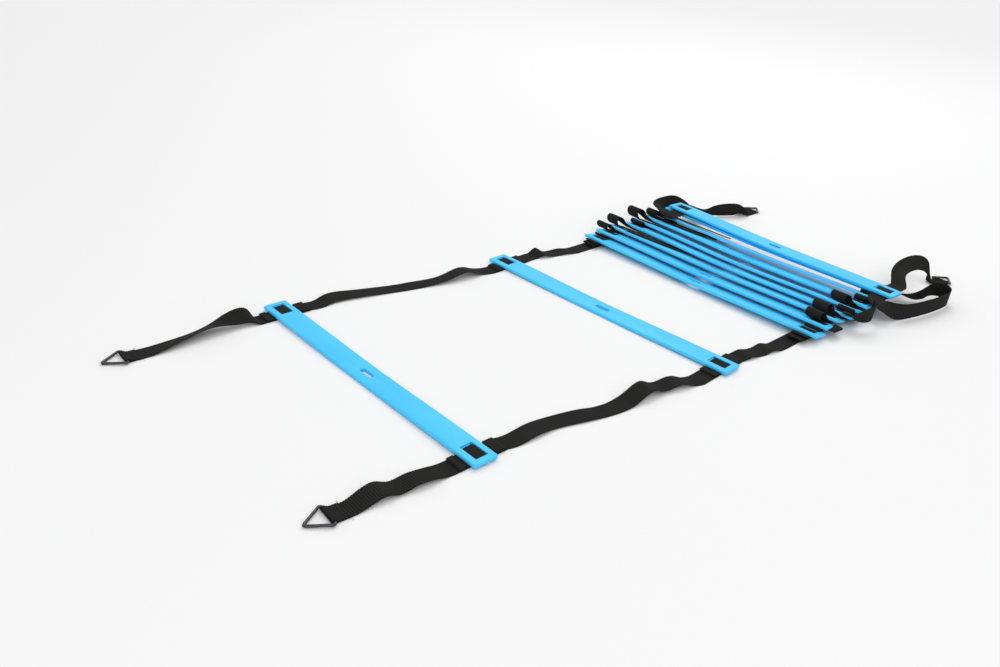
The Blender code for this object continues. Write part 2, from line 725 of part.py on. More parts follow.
def add_keepers(kit, name, parent, place, front, back):
    """The two keepers of one rung."""
    for hand in (LEFT, RIGHT):
        across = place.to_3x3() @ Vector((1, 0, 0))
        stations = []
        for along, up in keeper_profile(front, back):
            point = place @ Vector((hand * WINDOW_MIDDLE, along, up))
            stations.append((point, across))
        add_ribbon(kit, name.replace("rung", "keeper") + "_" + HAND_NAMES[hand], parent, stations)


class SideView:
    """A stacked rung seen from its end: places its local points in the ladder's frame."""

    def __init__(self, place, hand):
        self.place = place
        self.hand = hand
        self.window = place @ Vector((hand * WINDOW_MIDDLE, 0, 0))

    def point(self, along, up, shift=0.0):
        """A point beside the window, along and up from the rung's underside."""
        made = self.place @ Vector((self.hand * WINDOW_MIDDLE, along, up))
        made.x = self.window.x + shift
        return made

    def local(self, point):
        """A point's place along and up from the rung's underside."""
        made = self.place.inverted() @ Vector((self.window.x, point.y, point.z))
        return made.y, made.z


def arc(centre, radius, start, end, steps):
    """Places around a circle, as pairs."""
    made = []
    for number in range(steps + 1):
        angle = math.radians(start + (end - start) * number / steps)
        made.append((centre[0] + radius * math.cos(angle), centre[1] + radius * math.sin(angle)))
    return made


def leaving_angle(centre, radius, goal):
    """Where a path that runs clockwise round a circle leaves it straight for a goal, in degrees."""
    side, up = goal[0] - centre[0], goal[1] - centre[1]
    return math.degrees(math.atan2(up, side) + math.acos(radius / math.hypot(side, up)))


def back_turn(view, hang):
    """The strap behind a rung: a plain turn upward, or slack that hangs to the ground first."""
    edge = RUNG_WIDTH / 2 + EDGE_CLEARANCE
    turn_up = (STRAP_LEVEL + RETURN_LEVEL) / 2
    radius = (RETURN_LEVEL - STRAP_LEVEL) / 2
    if hang == 0:
        return [view.point(along, up) for along, up in arc((edge, turn_up), radius, -90, 90, TURN_STEPS)]
    leave = view.point(edge, STRAP_LEVEL)
    slack = hang * WEBBING_WIDTH
    middle = (leave.y + slack + radius / 2, HALF_WEB + slack)
    made = [leave]
    for back, up in arc(middle, slack, HANG_START, HANG_END, TURN_STEPS + 1):
        made.append(Vector((leave.x, back, up)))
    made.append(view.point(edge + SEAT_GAP, RETURN_LEVEL - HALF_WEB))
    made.append(view.point(edge - WEBBING_THICKNESS, RETURN_LEVEL + SEAT_GAP / 3))
    return made


def front_tube(lower, upper, radius, shift):
    """The strap on top of one rung, rolled into a tube in front of the next one and led under it."""
    half = RUNG_WIDTH / 2
    edge = half + EDGE_CLEARANCE
    entry = upper.point(-half - ENTRY_CLEARANCE, STRAP_LEVEL)
    front_along = lower.local(upper.point(-half, 0))[0]
    apart = front_along > half
    along = front_along - radius - TUBE_CLEARANCE
    if apart:
        along = min(along, half - radius)
    over = []
    if apart:
        turn_up = (STRAP_LEVEL + RETURN_LEVEL) / 2
        clear = (RETURN_LEVEL - STRAP_LEVEL) / 2 + OVER_TURN_CLEARANCE
        over = arc((edge, turn_up), clear, OVER_START, OVER_END, OVER_STEPS)
    goal = over[0] if apart else lower.local(entry)
    centre = (along, RETURN_LEVEL + radius)
    circle = arc(centre, radius, -90, leaving_angle(centre, radius, goal) - 360, TUBE_STEPS)
    made = []
    for number, place in enumerate(circle):
        drift = math.sin(math.pi * (ENTRY_DRIFT_SHARE + number / TUBE_STEPS / 2))
        made.append(lower.point(place[0], place[1], shift * drift))
    made += [lower.point(place[0], place[1], shift * ENTRY_DRIFT_SHARE) for place in over]
    made.append(entry)
    return made


def pocket(view, shift):
    """The strap in front of the stack, folded once on the ground and led under the first rung."""
    entry = view.point(-RUNG_WIDTH / 2 - EDGE_CLEARANCE, STRAP_LEVEL)
    low = HALF_WEB + POCKET_FLOOR_RADIUS
    shelf = low + POCKET_FLOOR_RADIUS
    radius = (entry.z - shelf) / 2
    places = [(STACK_LINE + HALF_CUT, HALF_WEB)]
    places += arc((POCKET_BACK, low), POCKET_FLOOR_RADIUS, -90, 90, TURN_STEPS)
    places += arc((POCKET_FRONT, shelf + radius), radius, -90, -270, TURN_STEPS)
    made = []
    for number, place in enumerate(places):
        fade = 1 - number / len(places)
        made.append(Vector((entry.x + shift * fade, place[0], place[1])))
    made.append(entry)
    return made


def share_stations(shares, anchor, steps):
    """Stations of a loose run given in webbing widths from an anchor."""
    stations = []
    for side, back, up, turn, bank in smooth_rows(shares, steps):
        banked = math.radians(bank)
        middle = anchor + Vector((side, back, up)) * WEBBING_WIDTH
        edge_drop = abs(math.sin(banked)) * WEBBING_WIDTH / 2
        middle.z = max(middle.z, HALF_WEB + edge_drop)
        stations.append((middle, across_vector(math.radians(turn), banked)))
    return stations


def stack_strap_stations(hand, places):
    """The whole folded strap of one side of the stack."""
    views = [SideView(place, hand) for place in places]
    flat = Vector((1, 0, 0))
    edge = RUNG_WIDTH / 2 + EDGE_CLEARANCE
    stations = [(point, flat) for point in pocket(views[0], START_SHIFTS[hand])]
    for number, fold in enumerate(FOLD_SHARES[hand]):
        tube, drift, hang = fold
        points = back_turn(views[number], hang)
        points += front_tube(views[number], views[number + 1], tube * WEBBING_WIDTH, drift * WEBBING_WIDTH)
        stations += [(point, flat) for point in points]
    stations.append((views[-2].point(edge, STRAP_LEVEL), flat))
    anchor = far_anchor(views[-1])
    stations += share_stations(LOOP_SHARES[hand], anchor, LOOP_RUN_STEPS)
    last = Vector((math.copysign(1, stations[-1][1].x), 0, 0))
    stations.append((views[-1].point(-edge, STRAP_LEVEL), last))
    stations.append((anchor - Vector((0, HALF_CUT, 0)), last))
    return stations


def far_anchor(view):
    """Where the strap under the stack's last rung reaches the far tail's fold line."""
    leave = view.point(RUNG_WIDTH / 2, STRAP_LEVEL)
    lean = view.place.to_3x3() @ Vector((0, 1, 0))
    reach = (FAR_TAIL_LINE - leave.y) / lean.y
    return Vector((leave.x, FAR_TAIL_LINE, leave.z + lean.z * reach))


def add_stack(kit, flat):
    """The gathered rungs, their keepers and the two folded straps; returns the rungs' places."""
    places = []
    for name, side, back, lift, sag, turn, tilt, front, behind in STACKED_SHARES:
        place = rung_matrix(
            STACK_SIDE + side * RUNG_WIDTH, STACK_BACK + back * RUNG_WIDTH, lift * RUNG_THICKNESS,
            math.radians(turn), math.radians(tilt),
        )
        places.append(place)
        add_rung(kit, name, flat, kit.ladder, place, sag * RUNG_THICKNESS)
        add_keepers(kit, name, kit.ladder, place, front * RUNG_WIDTH, behind * RUNG_WIDTH)
    for hand in (LEFT, RIGHT):
        add_ribbon(kit, "stack_strap_" + HAND_NAMES[hand], kit.ladder, stack_strap_stations(hand, places))
    return places


def add_laid_rung(kit, number, flat, parent, place, front_line, back_line):
    """A rung that lies on the ground with its keepers and the two straps under it."""
    name = "rung_%02d" % number
    add_rung(kit, name, flat, parent, place, LAID_SAG)
    add_keepers(kit, name, parent, place, LAID_KEEPER_FRONT, LAID_KEEPER_BACK)
    for hand in (LEFT, RIGHT):
        lines = (front_line + HALF_CUT, back_line - HALF_CUT)
        stations = []
        for line in lines:
            middle = strap_place(place, hand, line) + Vector((0, 0, HALF_WEB))
            stations.append((middle, Vector((1, 0, 0))))
        add_ribbon(kit, "rung_strap_%02d_%s" % (number, HAND_NAMES[hand]), parent, stations)


def strap_place(place, hand, line):
    """Where the strap under a laid rung crosses a line across the ladder."""
    window = place @ Vector((hand * WINDOW_MIDDLE, 0, 0))
    lean = place.to_3x3() @ Vector((0, 1, 0))
    point = window + lean * ((line - window.y) / lean.y)
    return Vector((point.x, line, 0))


def add_bay(kit, number, parents, ends, shares, steps):
    """The loose straps between two rungs, parted at the crease halfway."""
    crease = (ends[LEFT][0].y + ends[LEFT][1].y) / 2
    for hand in (LEFT, RIGHT):
        start, end = ends[hand]
        stations = run_stations(start, end, shares[hand], steps)
        for part, side in (("near", LEFT), ("far", RIGHT)):
            half = half_run(stations, side, crease)
            add_ribbon(kit, "bay_%d_%s_%s" % (number, part, HAND_NAMES[hand]), parents[part], half)


def build():
    """Make the whole ladder."""
    clear_scene()
    kit = Kit()
    flat = flat_rung_mesh(kit)
    stack_places = add_stack(kit, flat)
    first_place = rung_matrix(0, 0, UNDER_RUNG, 0, 0)
    second_place = rung_matrix(SECOND_RUNG_SIDE, SECOND_RUNG_BACK, UNDER_RUNG, SECOND_RUNG_TURN, 0)

    # Joint axes, from the stack to the near end
    bay_two_crease_line = (SECOND_RUNG_BACK_LINE + STACK_LINE) / 2
    bay_one_crease_line = (FIRST_RUNG_LINE + SECOND_RUNG_FRONT_LINE) / 2
    top = WEBBING_THICKNESS
    bay_two_far = kit.empty("bay_2_fold_axis", kit.ladder, Vector((0, STACK_LINE, top)))
    bay_two_near = kit.empty("bay_2_crease_axis", bay_two_far, Vector((0, bay_two_crease_line, 0)))
    second = kit.empty("rung_02_level_axis", bay_two_near, Vector((0, SECOND_RUNG_BACK_LINE, top)))
    bay_one_far = kit.empty("bay_1_fold_axis", second, Vector((0, SECOND_RUNG_FRONT_LINE, top)))
    bay_one_near = kit.empty("bay_1_crease_axis", bay_one_far, Vector((0, bay_one_crease_line, 0)))
    first = kit.empty("rung_01_level_axis", bay_one_near, Vector((0, FIRST_RUNG_LINE, top)))

    add_laid_rung(kit, 1, flat, first, first_place, NEAR_TAIL_LINE, FIRST_RUNG_LINE)
    add_laid_rung(kit, 2, flat, second, second_place, SECOND_RUNG_FRONT_LINE, SECOND_RUNG_BACK_LINE)
    bay_one_ends = {}
    bay_two_ends = {}
    for hand in (LEFT, RIGHT):
        view = SideView(stack_places[0], hand)
        stack_end = Vector((view.window.x + START_SHIFTS[hand], STACK_LINE - HALF_CUT, 0))
        bay_one_ends[hand] = (
            strap_place(first_place, hand, FIRST_RUNG_LINE + HALF_CUT),
            strap_place(second_place, hand, SECOND_RUNG_FRONT_LINE - HALF_CUT),
        )
        bay_two_ends[hand] = (strap_place(second_place, hand, SECOND_RUNG_BACK_LINE + HALF_CUT), stack_end)
    bay_one_parents = {"near": bay_one_near, "far": bay_one_far}
    bay_two_parents = {"near": bay_two_near, "far": bay_two_far}
    add_bay(kit, 1, bay_one_parents, bay_one_ends, BAY_ONE_SHARES, BAY_ONE_STEPS)
    add_bay(kit, 2, bay_two_parents, bay_two_ends, BAY_TWO_SHARES, BAY_TWO_STEPS)

    for hand in (LEFT, RIGHT):
        side = HAND_NAMES[hand]
        start = strap_place(first_place, hand, NEAR_TAIL_LINE - HALF_CUT)
        wire = wire_point(NEAR_WIRES[hand])
        turn = NEAR_TURNS[hand]
        lift = kit.empty("near_tail_lift_axis_" + side, first, Vector((0, NEAR_TAIL_LINE, top)))
        swing = kit.empty("near_ring_swing_axis_" + side, lift, wire + Vector((0, 0, WIRE_HEIGHT)))
        run = run_stations(start, wire, NEAR_TAIL_SHARES[hand], TAIL_STEPS)[:-1]
        add_ribbon(kit, "near_tail_" + side, lift, run + loop_stations(wire, turn, 1))
        add_ring(kit, "near_ring_" + side, swing, wire, turn)

        anchor = far_anchor(SideView(stack_places[-1], hand))
        wire = wire_point(FAR_WIRES[hand])
        turn = FAR_TURNS[hand]
        axis_point = Vector((0, FAR_TAIL_LINE, anchor.z + HALF_WEB))
        lift = kit.empty("far_tail_lift_axis_" + side, kit.ladder, axis_point)
        swing = kit.empty("far_ring_swing_axis_" + side, lift, wire + Vector((0, 0, WIRE_HEIGHT)))
        run = share_stations(FAR_TAIL_SHARES[hand], anchor, TAIL_STEPS)
        add_ribbon(kit, "far_tail_" + side, lift, run + loop_stations(wire, turn, -1))
        add_ring(kit, "far_ring_" + side, swing, wire, turn + math.pi)
    move_origin(kit)
    return kit


def move_origin(kit):
    """Move the ladder so that the bottom middle of its box is the origin."""
    bpy.context.view_layer.update()
    graph = bpy.context.evaluated_depsgraph_get()
    points = []
    for made in kit.parts.objects:
        if made.type == "MESH":
            shown = made.evaluated_get(graph)
            points += [shown.matrix_world @ vert.co for vert in shown.data.vertices]
    low = Vector([min(point[axis] for point in points) for axis in range(3)])
    high = Vector([max(point[axis] for point in points) for axis in range(3)])
    kit.ladder.location = Vector((-(low.x + high.x) / 2, -(low.y + high.y) / 2, -low.z))
    bpy.context.view_layer.update()


if __name__ == "__main__":
    build()
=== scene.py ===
"""Agility ladder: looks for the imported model.

The webbing is woven again as ribbed ribbons along the straps' routes, the rungs get softened edges,
and the wire triangles, seams and loose threads are modelled in full.
"""

import math

import bpy
import numpy as np
from mathutils import Matrix, Vector


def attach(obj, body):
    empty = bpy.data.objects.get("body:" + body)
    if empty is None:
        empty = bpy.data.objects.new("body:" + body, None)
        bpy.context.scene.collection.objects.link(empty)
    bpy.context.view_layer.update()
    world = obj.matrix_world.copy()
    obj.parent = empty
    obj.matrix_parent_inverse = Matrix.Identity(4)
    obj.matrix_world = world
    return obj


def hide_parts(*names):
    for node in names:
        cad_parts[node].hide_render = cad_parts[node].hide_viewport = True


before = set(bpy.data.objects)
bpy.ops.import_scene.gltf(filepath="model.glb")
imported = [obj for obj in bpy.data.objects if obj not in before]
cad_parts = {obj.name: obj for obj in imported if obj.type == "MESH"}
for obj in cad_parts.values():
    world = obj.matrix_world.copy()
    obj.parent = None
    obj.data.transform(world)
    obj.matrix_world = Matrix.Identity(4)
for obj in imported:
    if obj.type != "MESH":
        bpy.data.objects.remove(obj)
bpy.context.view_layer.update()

LEFT = -1
RIGHT = 1
HAND_NAMES = {LEFT: "left", RIGHT: "right"}
ACROSS = Vector((1, 0, 0))
ONWARD = Vector((0, 1, 0))
UPWARD = Vector((0, 0, 1))

# Where the first rung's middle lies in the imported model
LADDER_PLACE = Vector((-0.060022, -0.364, 0.0))

# Distances under which two points are one, in a ribbon and in a copied solid
RIBBON_WELD = 0.000001
SOLID_WELD = 0.00001

# Moulded rung
RUNG_LENGTH = 0.430
RUNG_WIDTH = 0.0334
RUNG_THICKNESS = 0.0040
WINDOW_WIDTH = 0.0170
BAR_WIDTH = 0.0110
WINDOW_MIDDLE = 0.1937
EDGE_SOFTENING = 0.00035
SOFTENED_ANGLE = math.radians(38)
RUNG_SMOOTH_ANGLE = math.radians(35)
FLAT_FACE_ANGLE = math.radians(0.15)
GATE_RADIUS = 0.0011
GATE_STAND = 0.0002
GATE_SIDES = 16
GATE_HEIGHT = RUNG_THICKNESS * 0.42

# Webbing
WEBBING_WIDTH = 0.0250
WEBBING_THICKNESS = 0.0010
SELVEDGE_THICKNESS = 0.0005
SELVEDGE_INSET = 0.0004
SELVEDGE_START = 0.9  # in half widths
RIB_DEPTH = 0.00018
SCALLOP_DEPTH = 0.00055
ROW_PITCH = 0.00075
ROWS_PER_RIB = 4
YARN_PITCH = 0.0015
WEBBING_SMOOTH_ANGLE = math.radians(55)
SHARP_CUT = 0.0009
SHARP_TURN = math.radians(40)
CORNER_STEPS = 4
SEAT_GAP = 0.0003
BUTT_GAP = 0.00004
LAID_KEEPER_FRONT = 0.0125
LAID_KEEPER_BACK = 0.0180
KEEPER_HEM_END = 0.0040
KEEPER_HEM_REACH = 0.0080
HEM_TURN_STEPS = 6

# Wire triangles and the straps' loops round them, with angles in degrees
WIRE_RADIUS = 0.0016
RING_SIDE = 0.0364
RING_REACH = 0.0300
RING_BEND = 0.0020
RING_BEND_STEPS = 8
WIRE_RESOLUTION = 5
LOOP_STEPS = 12
LOOP_START = -90
LOOP_SWEEP = 235
LOOP_HEM = 0.0160
LOOP_CLOSING = 0.0060

# Stitches and loose threads
STITCH_LENGTH = 0.0017
STITCH_PITCH = 0.0025
STITCH_RADIUS = 0.00024
STITCH_ROUNDING = STITCH_RADIUS * 0.6
STITCH_SIDES = 8
SEAM_WIDTH = WEBBING_WIDTH * 0.84
HEM_SEAM_PLACES = (LOOP_HEM * 0.50, LOOP_HEM * 0.86)
THREAD_RADIUS = 0.00016
THREAD_RESOLUTION = 2
THREAD_ROOT_ALONG = LOOP_HEM * 0.95
THREAD_ROOT_ACROSS = WEBBING_WIDTH * 0.46

# Points of a loose thread: outwards and along the strap from its root, and height over the ground
THREAD_POINTS = (
    (0.0, 0.0, 0.0020),
    (0.0022, 0.0, 0.0030),
    (0.0036, 0.0014, 0.0016),
    (0.0042, 0.0032, 0.0003),
)

# Places of the rungs and of the fold lines
SECOND_RUNG_SIDE = 0.0446
SECOND_RUNG_BACK = 0.3737
SECOND_RUNG_TURN = math.radians(2.7)
STACK_SIDE = 0.0790
STACK_BACK = 0.5380
NEAR_TAIL_LINE = -0.0365
FIRST_RUNG_LINE = 0.0365
SECOND_RUNG_FRONT_LINE = 0.3290
SECOND_RUNG_BACK_LINE = 0.4190
STACK_LINE = 0.4970
FAR_TAIL_LINE = 0.7925
POCKET_BACK = 0.5496
POCKET_FRONT = 0.5326

# Folded straps in the stack, with angles in degrees
TURN_STEPS = 8
TUBE_STEPS = 14
HANG_START = -125
HANG_END = 110
OVER_START = 85
OVER_END = 15
OVER_STEPS = 3
ENTRY_DRIFT_SHARE = 0.25
EDGE_CLEARANCE = 0.0008
ENTRY_CLEARANCE = 0.0014
POCKET_FLOOR_RADIUS = 0.0021
TUBE_CLEARANCE = 0.0020
OVER_TURN_CLEARANCE = 0.0015
START_SHIFTS = {LEFT: -0.0044, RIGHT: -0.0088}

# Strap ends
NEAR_WIRES = {LEFT: (-0.1955, -0.2100), RIGHT: (0.1835, -0.1730)}
FAR_WIRES = {LEFT: (-0.0780, 0.9380), RIGHT: (0.2915, 0.9380)}
NEAR_TURNS = {LEFT: math.radians(-3.3), RIGHT: math.radians(-4.7)}
FAR_TURNS = {LEFT: math.radians(4.0), RIGHT: math.radians(-2.0)}

# Sums of the sizes above
HALF_RUNG = RUNG_WIDTH / 2
PAST_EDGE = HALF_RUNG + EDGE_CLEARANCE
HALF_WIDTH = WEBBING_WIDTH / 2
HALF_WEB = WEBBING_THICKNESS / 2
LAYER = WEBBING_THICKNESS + SEAT_GAP
UNDER_RUNG = 2 * LAYER
STRAP_LEVEL = HALF_WEB - UNDER_RUNG
KEEPER_LEVEL = STRAP_LEVEL + LAYER
RETURN_LEVEL = RUNG_THICKNESS + SEAT_GAP + HALF_WEB
TURN_LEVEL = (STRAP_LEVEL + RETURN_LEVEL) / 2
TURN_RADIUS = (RETURN_LEVEL - STRAP_LEVEL) / 2
LOOP_RADIUS = WIRE_RADIUS + SEAT_GAP + HALF_WEB
WIRE_HEIGHT = WEBBING_THICKNESS + SEAT_GAP + WIRE_RADIUS
BUTT_INSET = ONWARD * (BUTT_GAP / 2)

# Stacked rungs: side and back in rung widths, lift in rung thicknesses, turn and tilt in degrees,
# and the keeper's reach past each edge in rung widths
STACKED_SHARES = (
    ("rung_03", -0.36, 0.720, 1.60, 0.6, -10.4, 0.27, 0.00),
    ("rung_04", -0.39, 1.590, 2.32, 0.9, -11.8, -0.05, -0.02),
    ("rung_05", -0.45, 2.450, 2.72, 0.9, -16.6, -0.05, -0.02),
    ("rung_06", -0.21, 3.323, 2.88, 0.0, -17.0, -0.05, -0.02),
    ("rung_07", -0.33, 4.177, 2.75, 0.0, -20.0, -0.05, -0.02),
    ("rung_08", -0.27, 4.985, 3.24, -0.3, -13.0, -0.05, -0.02),
    ("rung_09", -0.36, 5.823, 3.66, 0.3, -20.0, -0.05, -0.02),
    ("rung_10", -0.03, 6.572, 5.32, -0.8, -2.5, -0.05, -0.02),
    ("rung_11", 0.21, 6.422, 7.13, -2.4, -1.0, -0.02, 0.36),
)

# Strap folds between the stacked rungs: tube radius, sideways shift and hanging radius in webbing widths
FOLD_SHARES = {
    LEFT: (
        (0.07, -0.30, 0.00),
        (0.20, -1.00, 0.12),
        (0.30, -1.00, 0.00),
        (0.16, -0.30, 0.17),
        (0.34, -1.20, 0.15),
        (0.24, -0.50, 0.16),
        (0.10, 0.44, 0.19),
    ),
    RIGHT: (
        (0.07, 0.00, 0.00),
        (0.26, -0.50, 0.12),
        (0.30, -0.60, 0.00),
        (0.16, 0.00, 0.17),
        (0.28, -0.80, 0.15),
        (0.16, 0.00, 0.16),
        (0.08, 0.00, 0.19),
    ),
}

# Loose strap runs: share of the way along, shift to the right and lift in webbing widths, bank in degrees
NEAR_TAIL_SHARES = {
    LEFT: (
        (0.00, 0.00, 0.00, 0),
        (0.02, -0.01, 0.08, -8),
        (0.05, -0.03, 0.34, -26),
        (0.10, -0.09, 0.48, -34),
        (0.17, -0.15, 0.46, -26),
        (0.24, -0.18, 0.41, -8),
        (0.32, -0.18, 0.35, 12),
        (0.41, -0.14, 0.30, 23),
        (0.53, -0.05, 0.23, 23),
        (0.67, 0.02, 0.14, 14),
        (0.79, 0.05, 0.04, 5),
        (0.87, 0.03, 0.00, 0),
        (0.94, 0.01, 0.00, 0),
        (1.00, 0.00, 0.00, 0),
    ),
    RIGHT: (
        (0.00, 0.00, 0.00, 0),
        (0.06, 0.00, 0.01, 0),
        (0.17, 0.04, 0.16, 3),
        (0.32, 0.02, 0.22, 3),
        (0.46, -0.02, 0.08, 0),
        (0.58, -0.05, 0.30, -6),
        (0.68, -0.05, 0.22, -8),
        (0.82, 0.00, 0.02, 0),
        (0.92, 0.00, 0.00, 0),
        (1.00, 0.00, 0.00, 0),
    ),
}
BAY_ONE_SHARES = {
    LEFT: (
        (0.00, 0.00, 0.00, 0),
        (0.05, 0.00, 0.01, 0),
        (0.14, -0.24, 0.14, -6),
        (0.28, -0.20, 0.08, 0),
        (0.44, -0.06, 0.00, 0),
        (0.50, 0.00, 0.00, 0),
        (0.56, 0.02, 0.00, 0),
        (0.70, 0.12, 0.12, 8),
        (0.83, 0.04, 0.40, 4),
        (0.92, -0.04, 0.08, 0),
        (0.97, 0.00, 0.00, 0),
        (1.00, 0.00, 0.00, 0),
    ),
    RIGHT: (
        (0.00, 0.00, 0.00, 0),
        (0.05, 0.04, 0.01, 0),
        (0.15, -0.10, 0.14, 0),
        (0.25, -0.24, 0.04, 0),
        (0.38, -0.04, 0.08, -4),
        (0.46, 0.04, 0.01, 0),
        (0.50, 0.06, 0.00, 0),
        (0.54, 0.06, 0.00, 0),
        (0.62, -0.02, 0.12, -6),
        (0.72, -0.20, 0.46, -6),
        (0.80, -0.22, 0.14, 0),
        (0.89, -0.16, 0.28, 0),
        (0.96, -0.06, 0.01, 0),
        (1.00, 0.00, 0.00, 0),
    ),
}
BAY_TWO_SHARES = {
    LEFT: (
        (0.00, 0.00, 0.00, 0),
        (0.07, -0.01, 0.02, 0),
        (0.20, 0.02, 0.30, -8),
        (0.34, 0.06, 0.08, 0),
        (0.46, 0.02, 0.00, 0),
        (0.54, 0.00, 0.00, 0),
        (0.74, 0.02, 0.08, 0),
        (0.92, 0.00, 0.00, 0),
        (1.00, 0.00, 0.00, 0),
    ),
    RIGHT: (
        (0.00, 0.00, 0.00, 0),
        (0.08, 0.00, 0.01, 0),
        (0.24, 0.02, 0.14, 0),
        (0.40, 0.00, 0.02, 0),
        (0.50, 0.00, 0.00, 0),
        (0.60, 0.00, 0.02, 0),
        (0.76, -0.02, 0.14, 0),
        (0.92, 0.00, 0.00, 0),
        (1.00, 0.00, 0.00, 0),
    ),
}

# Far tails and end loops: shift right, back and up from the last rung's far fold line in webbing
# widths, then turn and bank in degrees
FAR_TAIL_SHARES = {
    LEFT: (
        (0.00, 0.01, 0.00, 0, 0),
        (0.02, 0.26, -0.02, 0, 0),
        (0.04, 0.72, -0.22, -4, 14),
        (0.12, 1.30, -0.40, -16, 40),
        (0.24, 1.90, -0.48, -28, 62),
        (0.42, 2.48, -0.50, -36, 76),
        (0.62, 3.02, -0.51, -40, 84),
        (0.88, 3.52, -0.51, -42, 86),
        (1.12, 3.96, -0.52, -32, 76),
        (1.24, 4.34, -0.66, -14, 44),
        (1.24, 4.66, -0.94, 0, 12),
        (1.20, 4.98, -1.10, 3, 0),
        (1.19, 5.38, -1.10, 4, 0),
    ),
    RIGHT: (
        (0.00, 0.01, 0.00, 0, 0),
        (-0.16, 0.34, 0.10, 10, -6),
        (-0.56, 1.00, 0.32, 14, -18),
        (-0.80, 1.90, 0.42, 4, -36),
        (-0.80, 2.90, 0.48, -6, -50),
        (-0.66, 3.90, 0.42, -16, -58),
        (-0.40, 4.60, 0.20, -30, -62),
        (-0.10, 4.84, -0.18, -40, -58),
        (0.12, 4.86, -0.66, -36, -28),
        (0.28, 4.96, -1.06, -14, -2),
        (0.42, 5.40, -1.10, -2, 0),
    ),
}
LOOP_SHARES = {
    LEFT: (
        (-0.36, -0.42, -0.30, 12, 4),
        (-0.62, -0.24, -0.28, 42, 16),
        (-1.02, -0.18, -0.16, 84, 40),
        (-1.38, -0.34, 0.00, 128, 62),
        (-1.58, -0.60, 0.06, 162, 68),
        (-1.62, -1.20, 0.10, 178, 66),
        (-1.58, -1.84, 0.13, 190, 58),
        (-1.40, -2.44, 0.20, 206, 38),
        (-0.96, -3.00, 0.34, 212, 14),
        (-0.38, -3.36, 0.40, 206, 4),
        (0.08, -3.64, 0.36, 196, 0),
        (0.26, -3.82, 0.24, 188, 0),
        (0.28, -3.70, 0.11, 184, 0),
        (0.22, -3.20, 0.07, 182, 0),
        (0.08, -2.70, 0.07, 180, 0),
        (-0.01, -2.20, 0.07, 180, 0),
    ),
    RIGHT: (
        (-0.20, -0.48, -0.32, -20, 3),
        (0.16, -0.02, -0.38, -36, 14),
        (0.60, 0.44, -0.44, -36, 36),
        (0.94, 1.04, -0.46, -24, 66),
        (1.12, 1.70, -0.40, -10, 84),
        (1.20, 2.30, -0.34, -14, 80),
        (1.46, 2.80, -0.36, -50, 80),
        (1.86, 2.96, -0.42, -100, 86),
        (2.20, 2.66, -0.46, -150, 90),
        (2.36, 2.06, -0.46, -184, 90),
        (2.30, 1.06, -0.46, -190, 90),
        (2.14, -0.10, -0.46, -194, 90),
        (1.90, -1.20, -0.46, -198, 90),
        (1.60, -2.20, -0.46, -204, 86),
        (1.24, -3.00, -0.34, -218, 62),
        (0.88, -3.46, -0.10, -246, 28),
        (0.50, -3.56, 0.02, -282, 6),
        (0.18, -3.34, 0.05, -325, 0),
        (0.03, -2.98, 0.05, -355, 0),
    ),
}

# Slack webbing past the gathered rungs' right ends, and black bands of webbing on the gathered rungs' left
# halves that also paint the shade in the gaps between the rungs: its rung, whether it leans with that rung,
# and shifts from the rung's middle in webbing widths, with turn and bank in degrees
SLACK_AND_SHADE_SHARES = (
    # Black bands in the gaps under the next rungs, painted shade there as well as webbing
    ("slack_and_shade_left_1", "rung_05", True, (
        (-7.16, -0.10, 0.240, -88, 0),
        (-6.40, -0.06, 0.216, -85, 0),
        (-5.40, 0.12, 0.210, -76, 0),
        (-4.40, 0.44, 0.214, -70, 0),
        (-3.60, 0.78, 0.210, -66, 0),
        (-3.00, 1.06, 0.210, -66, 0),
    )),
    ("slack_and_shade_left_2", "rung_08", True, (
        (-7.16, 0.10, 0.240, -88, 0),
        (-6.20, 0.16, 0.214, -84, 0),
        (-5.00, 0.34, 0.210, -78, 0),
        (-4.00, 0.62, 0.214, -72, 0),
        (-3.20, 0.92, 0.210, -70, 0),
    )),
    ("slack_and_shade_left_3", "rung_09", True, (
        (-7.16, 0.14, 0.240, -88, 0),
        (-6.00, 0.22, 0.212, -84, 0),
        (-4.80, 0.40, 0.214, -78, 0),
        (-3.60, 0.70, 0.210, -72, 0),
        (-2.80, 1.00, 0.210, -70, 0),
    )),
    ("slack_right_1", "rung_04", True, (
        (8.36, 0.00, -0.080, -90, 0),
        (8.66, 0.00, -0.084, -90, 0),
        (8.92, 0.04, -0.170, -90, -6),
        (8.80, 0.08, -0.262, -90, -11.8),
        (8.40, 0.10, -0.270, -90, -11.8),
    )),
    ("slack_right_2", "rung_06", False, (
        (7.90, -0.42, 0.42, -90, 17),
        (8.30, -0.46, 0.42, -88, 20),
        (8.68, -0.46, 0.28, -80, 40),
        (8.94, -0.26, 0.10, -60, 66),
        (9.12, 0.06, 0.052, -40, 84),
        (9.20, 0.46, 0.052, -20, 88),
        (9.14, 0.88, 0.052, 0, 88),
        (8.94, 1.20, 0.052, 20, 88),
        (8.74, 1.36, 0.052, 40, 88),
    )),
)

# Steps of each kind of loose run
TAIL_STEPS = 26
BAY_ONE_STEPS = 36
BAY_TWO_STEPS = 20
LOOP_RUN_STEPS = 40
SLACK_AND_SHADE_STEPS = 24

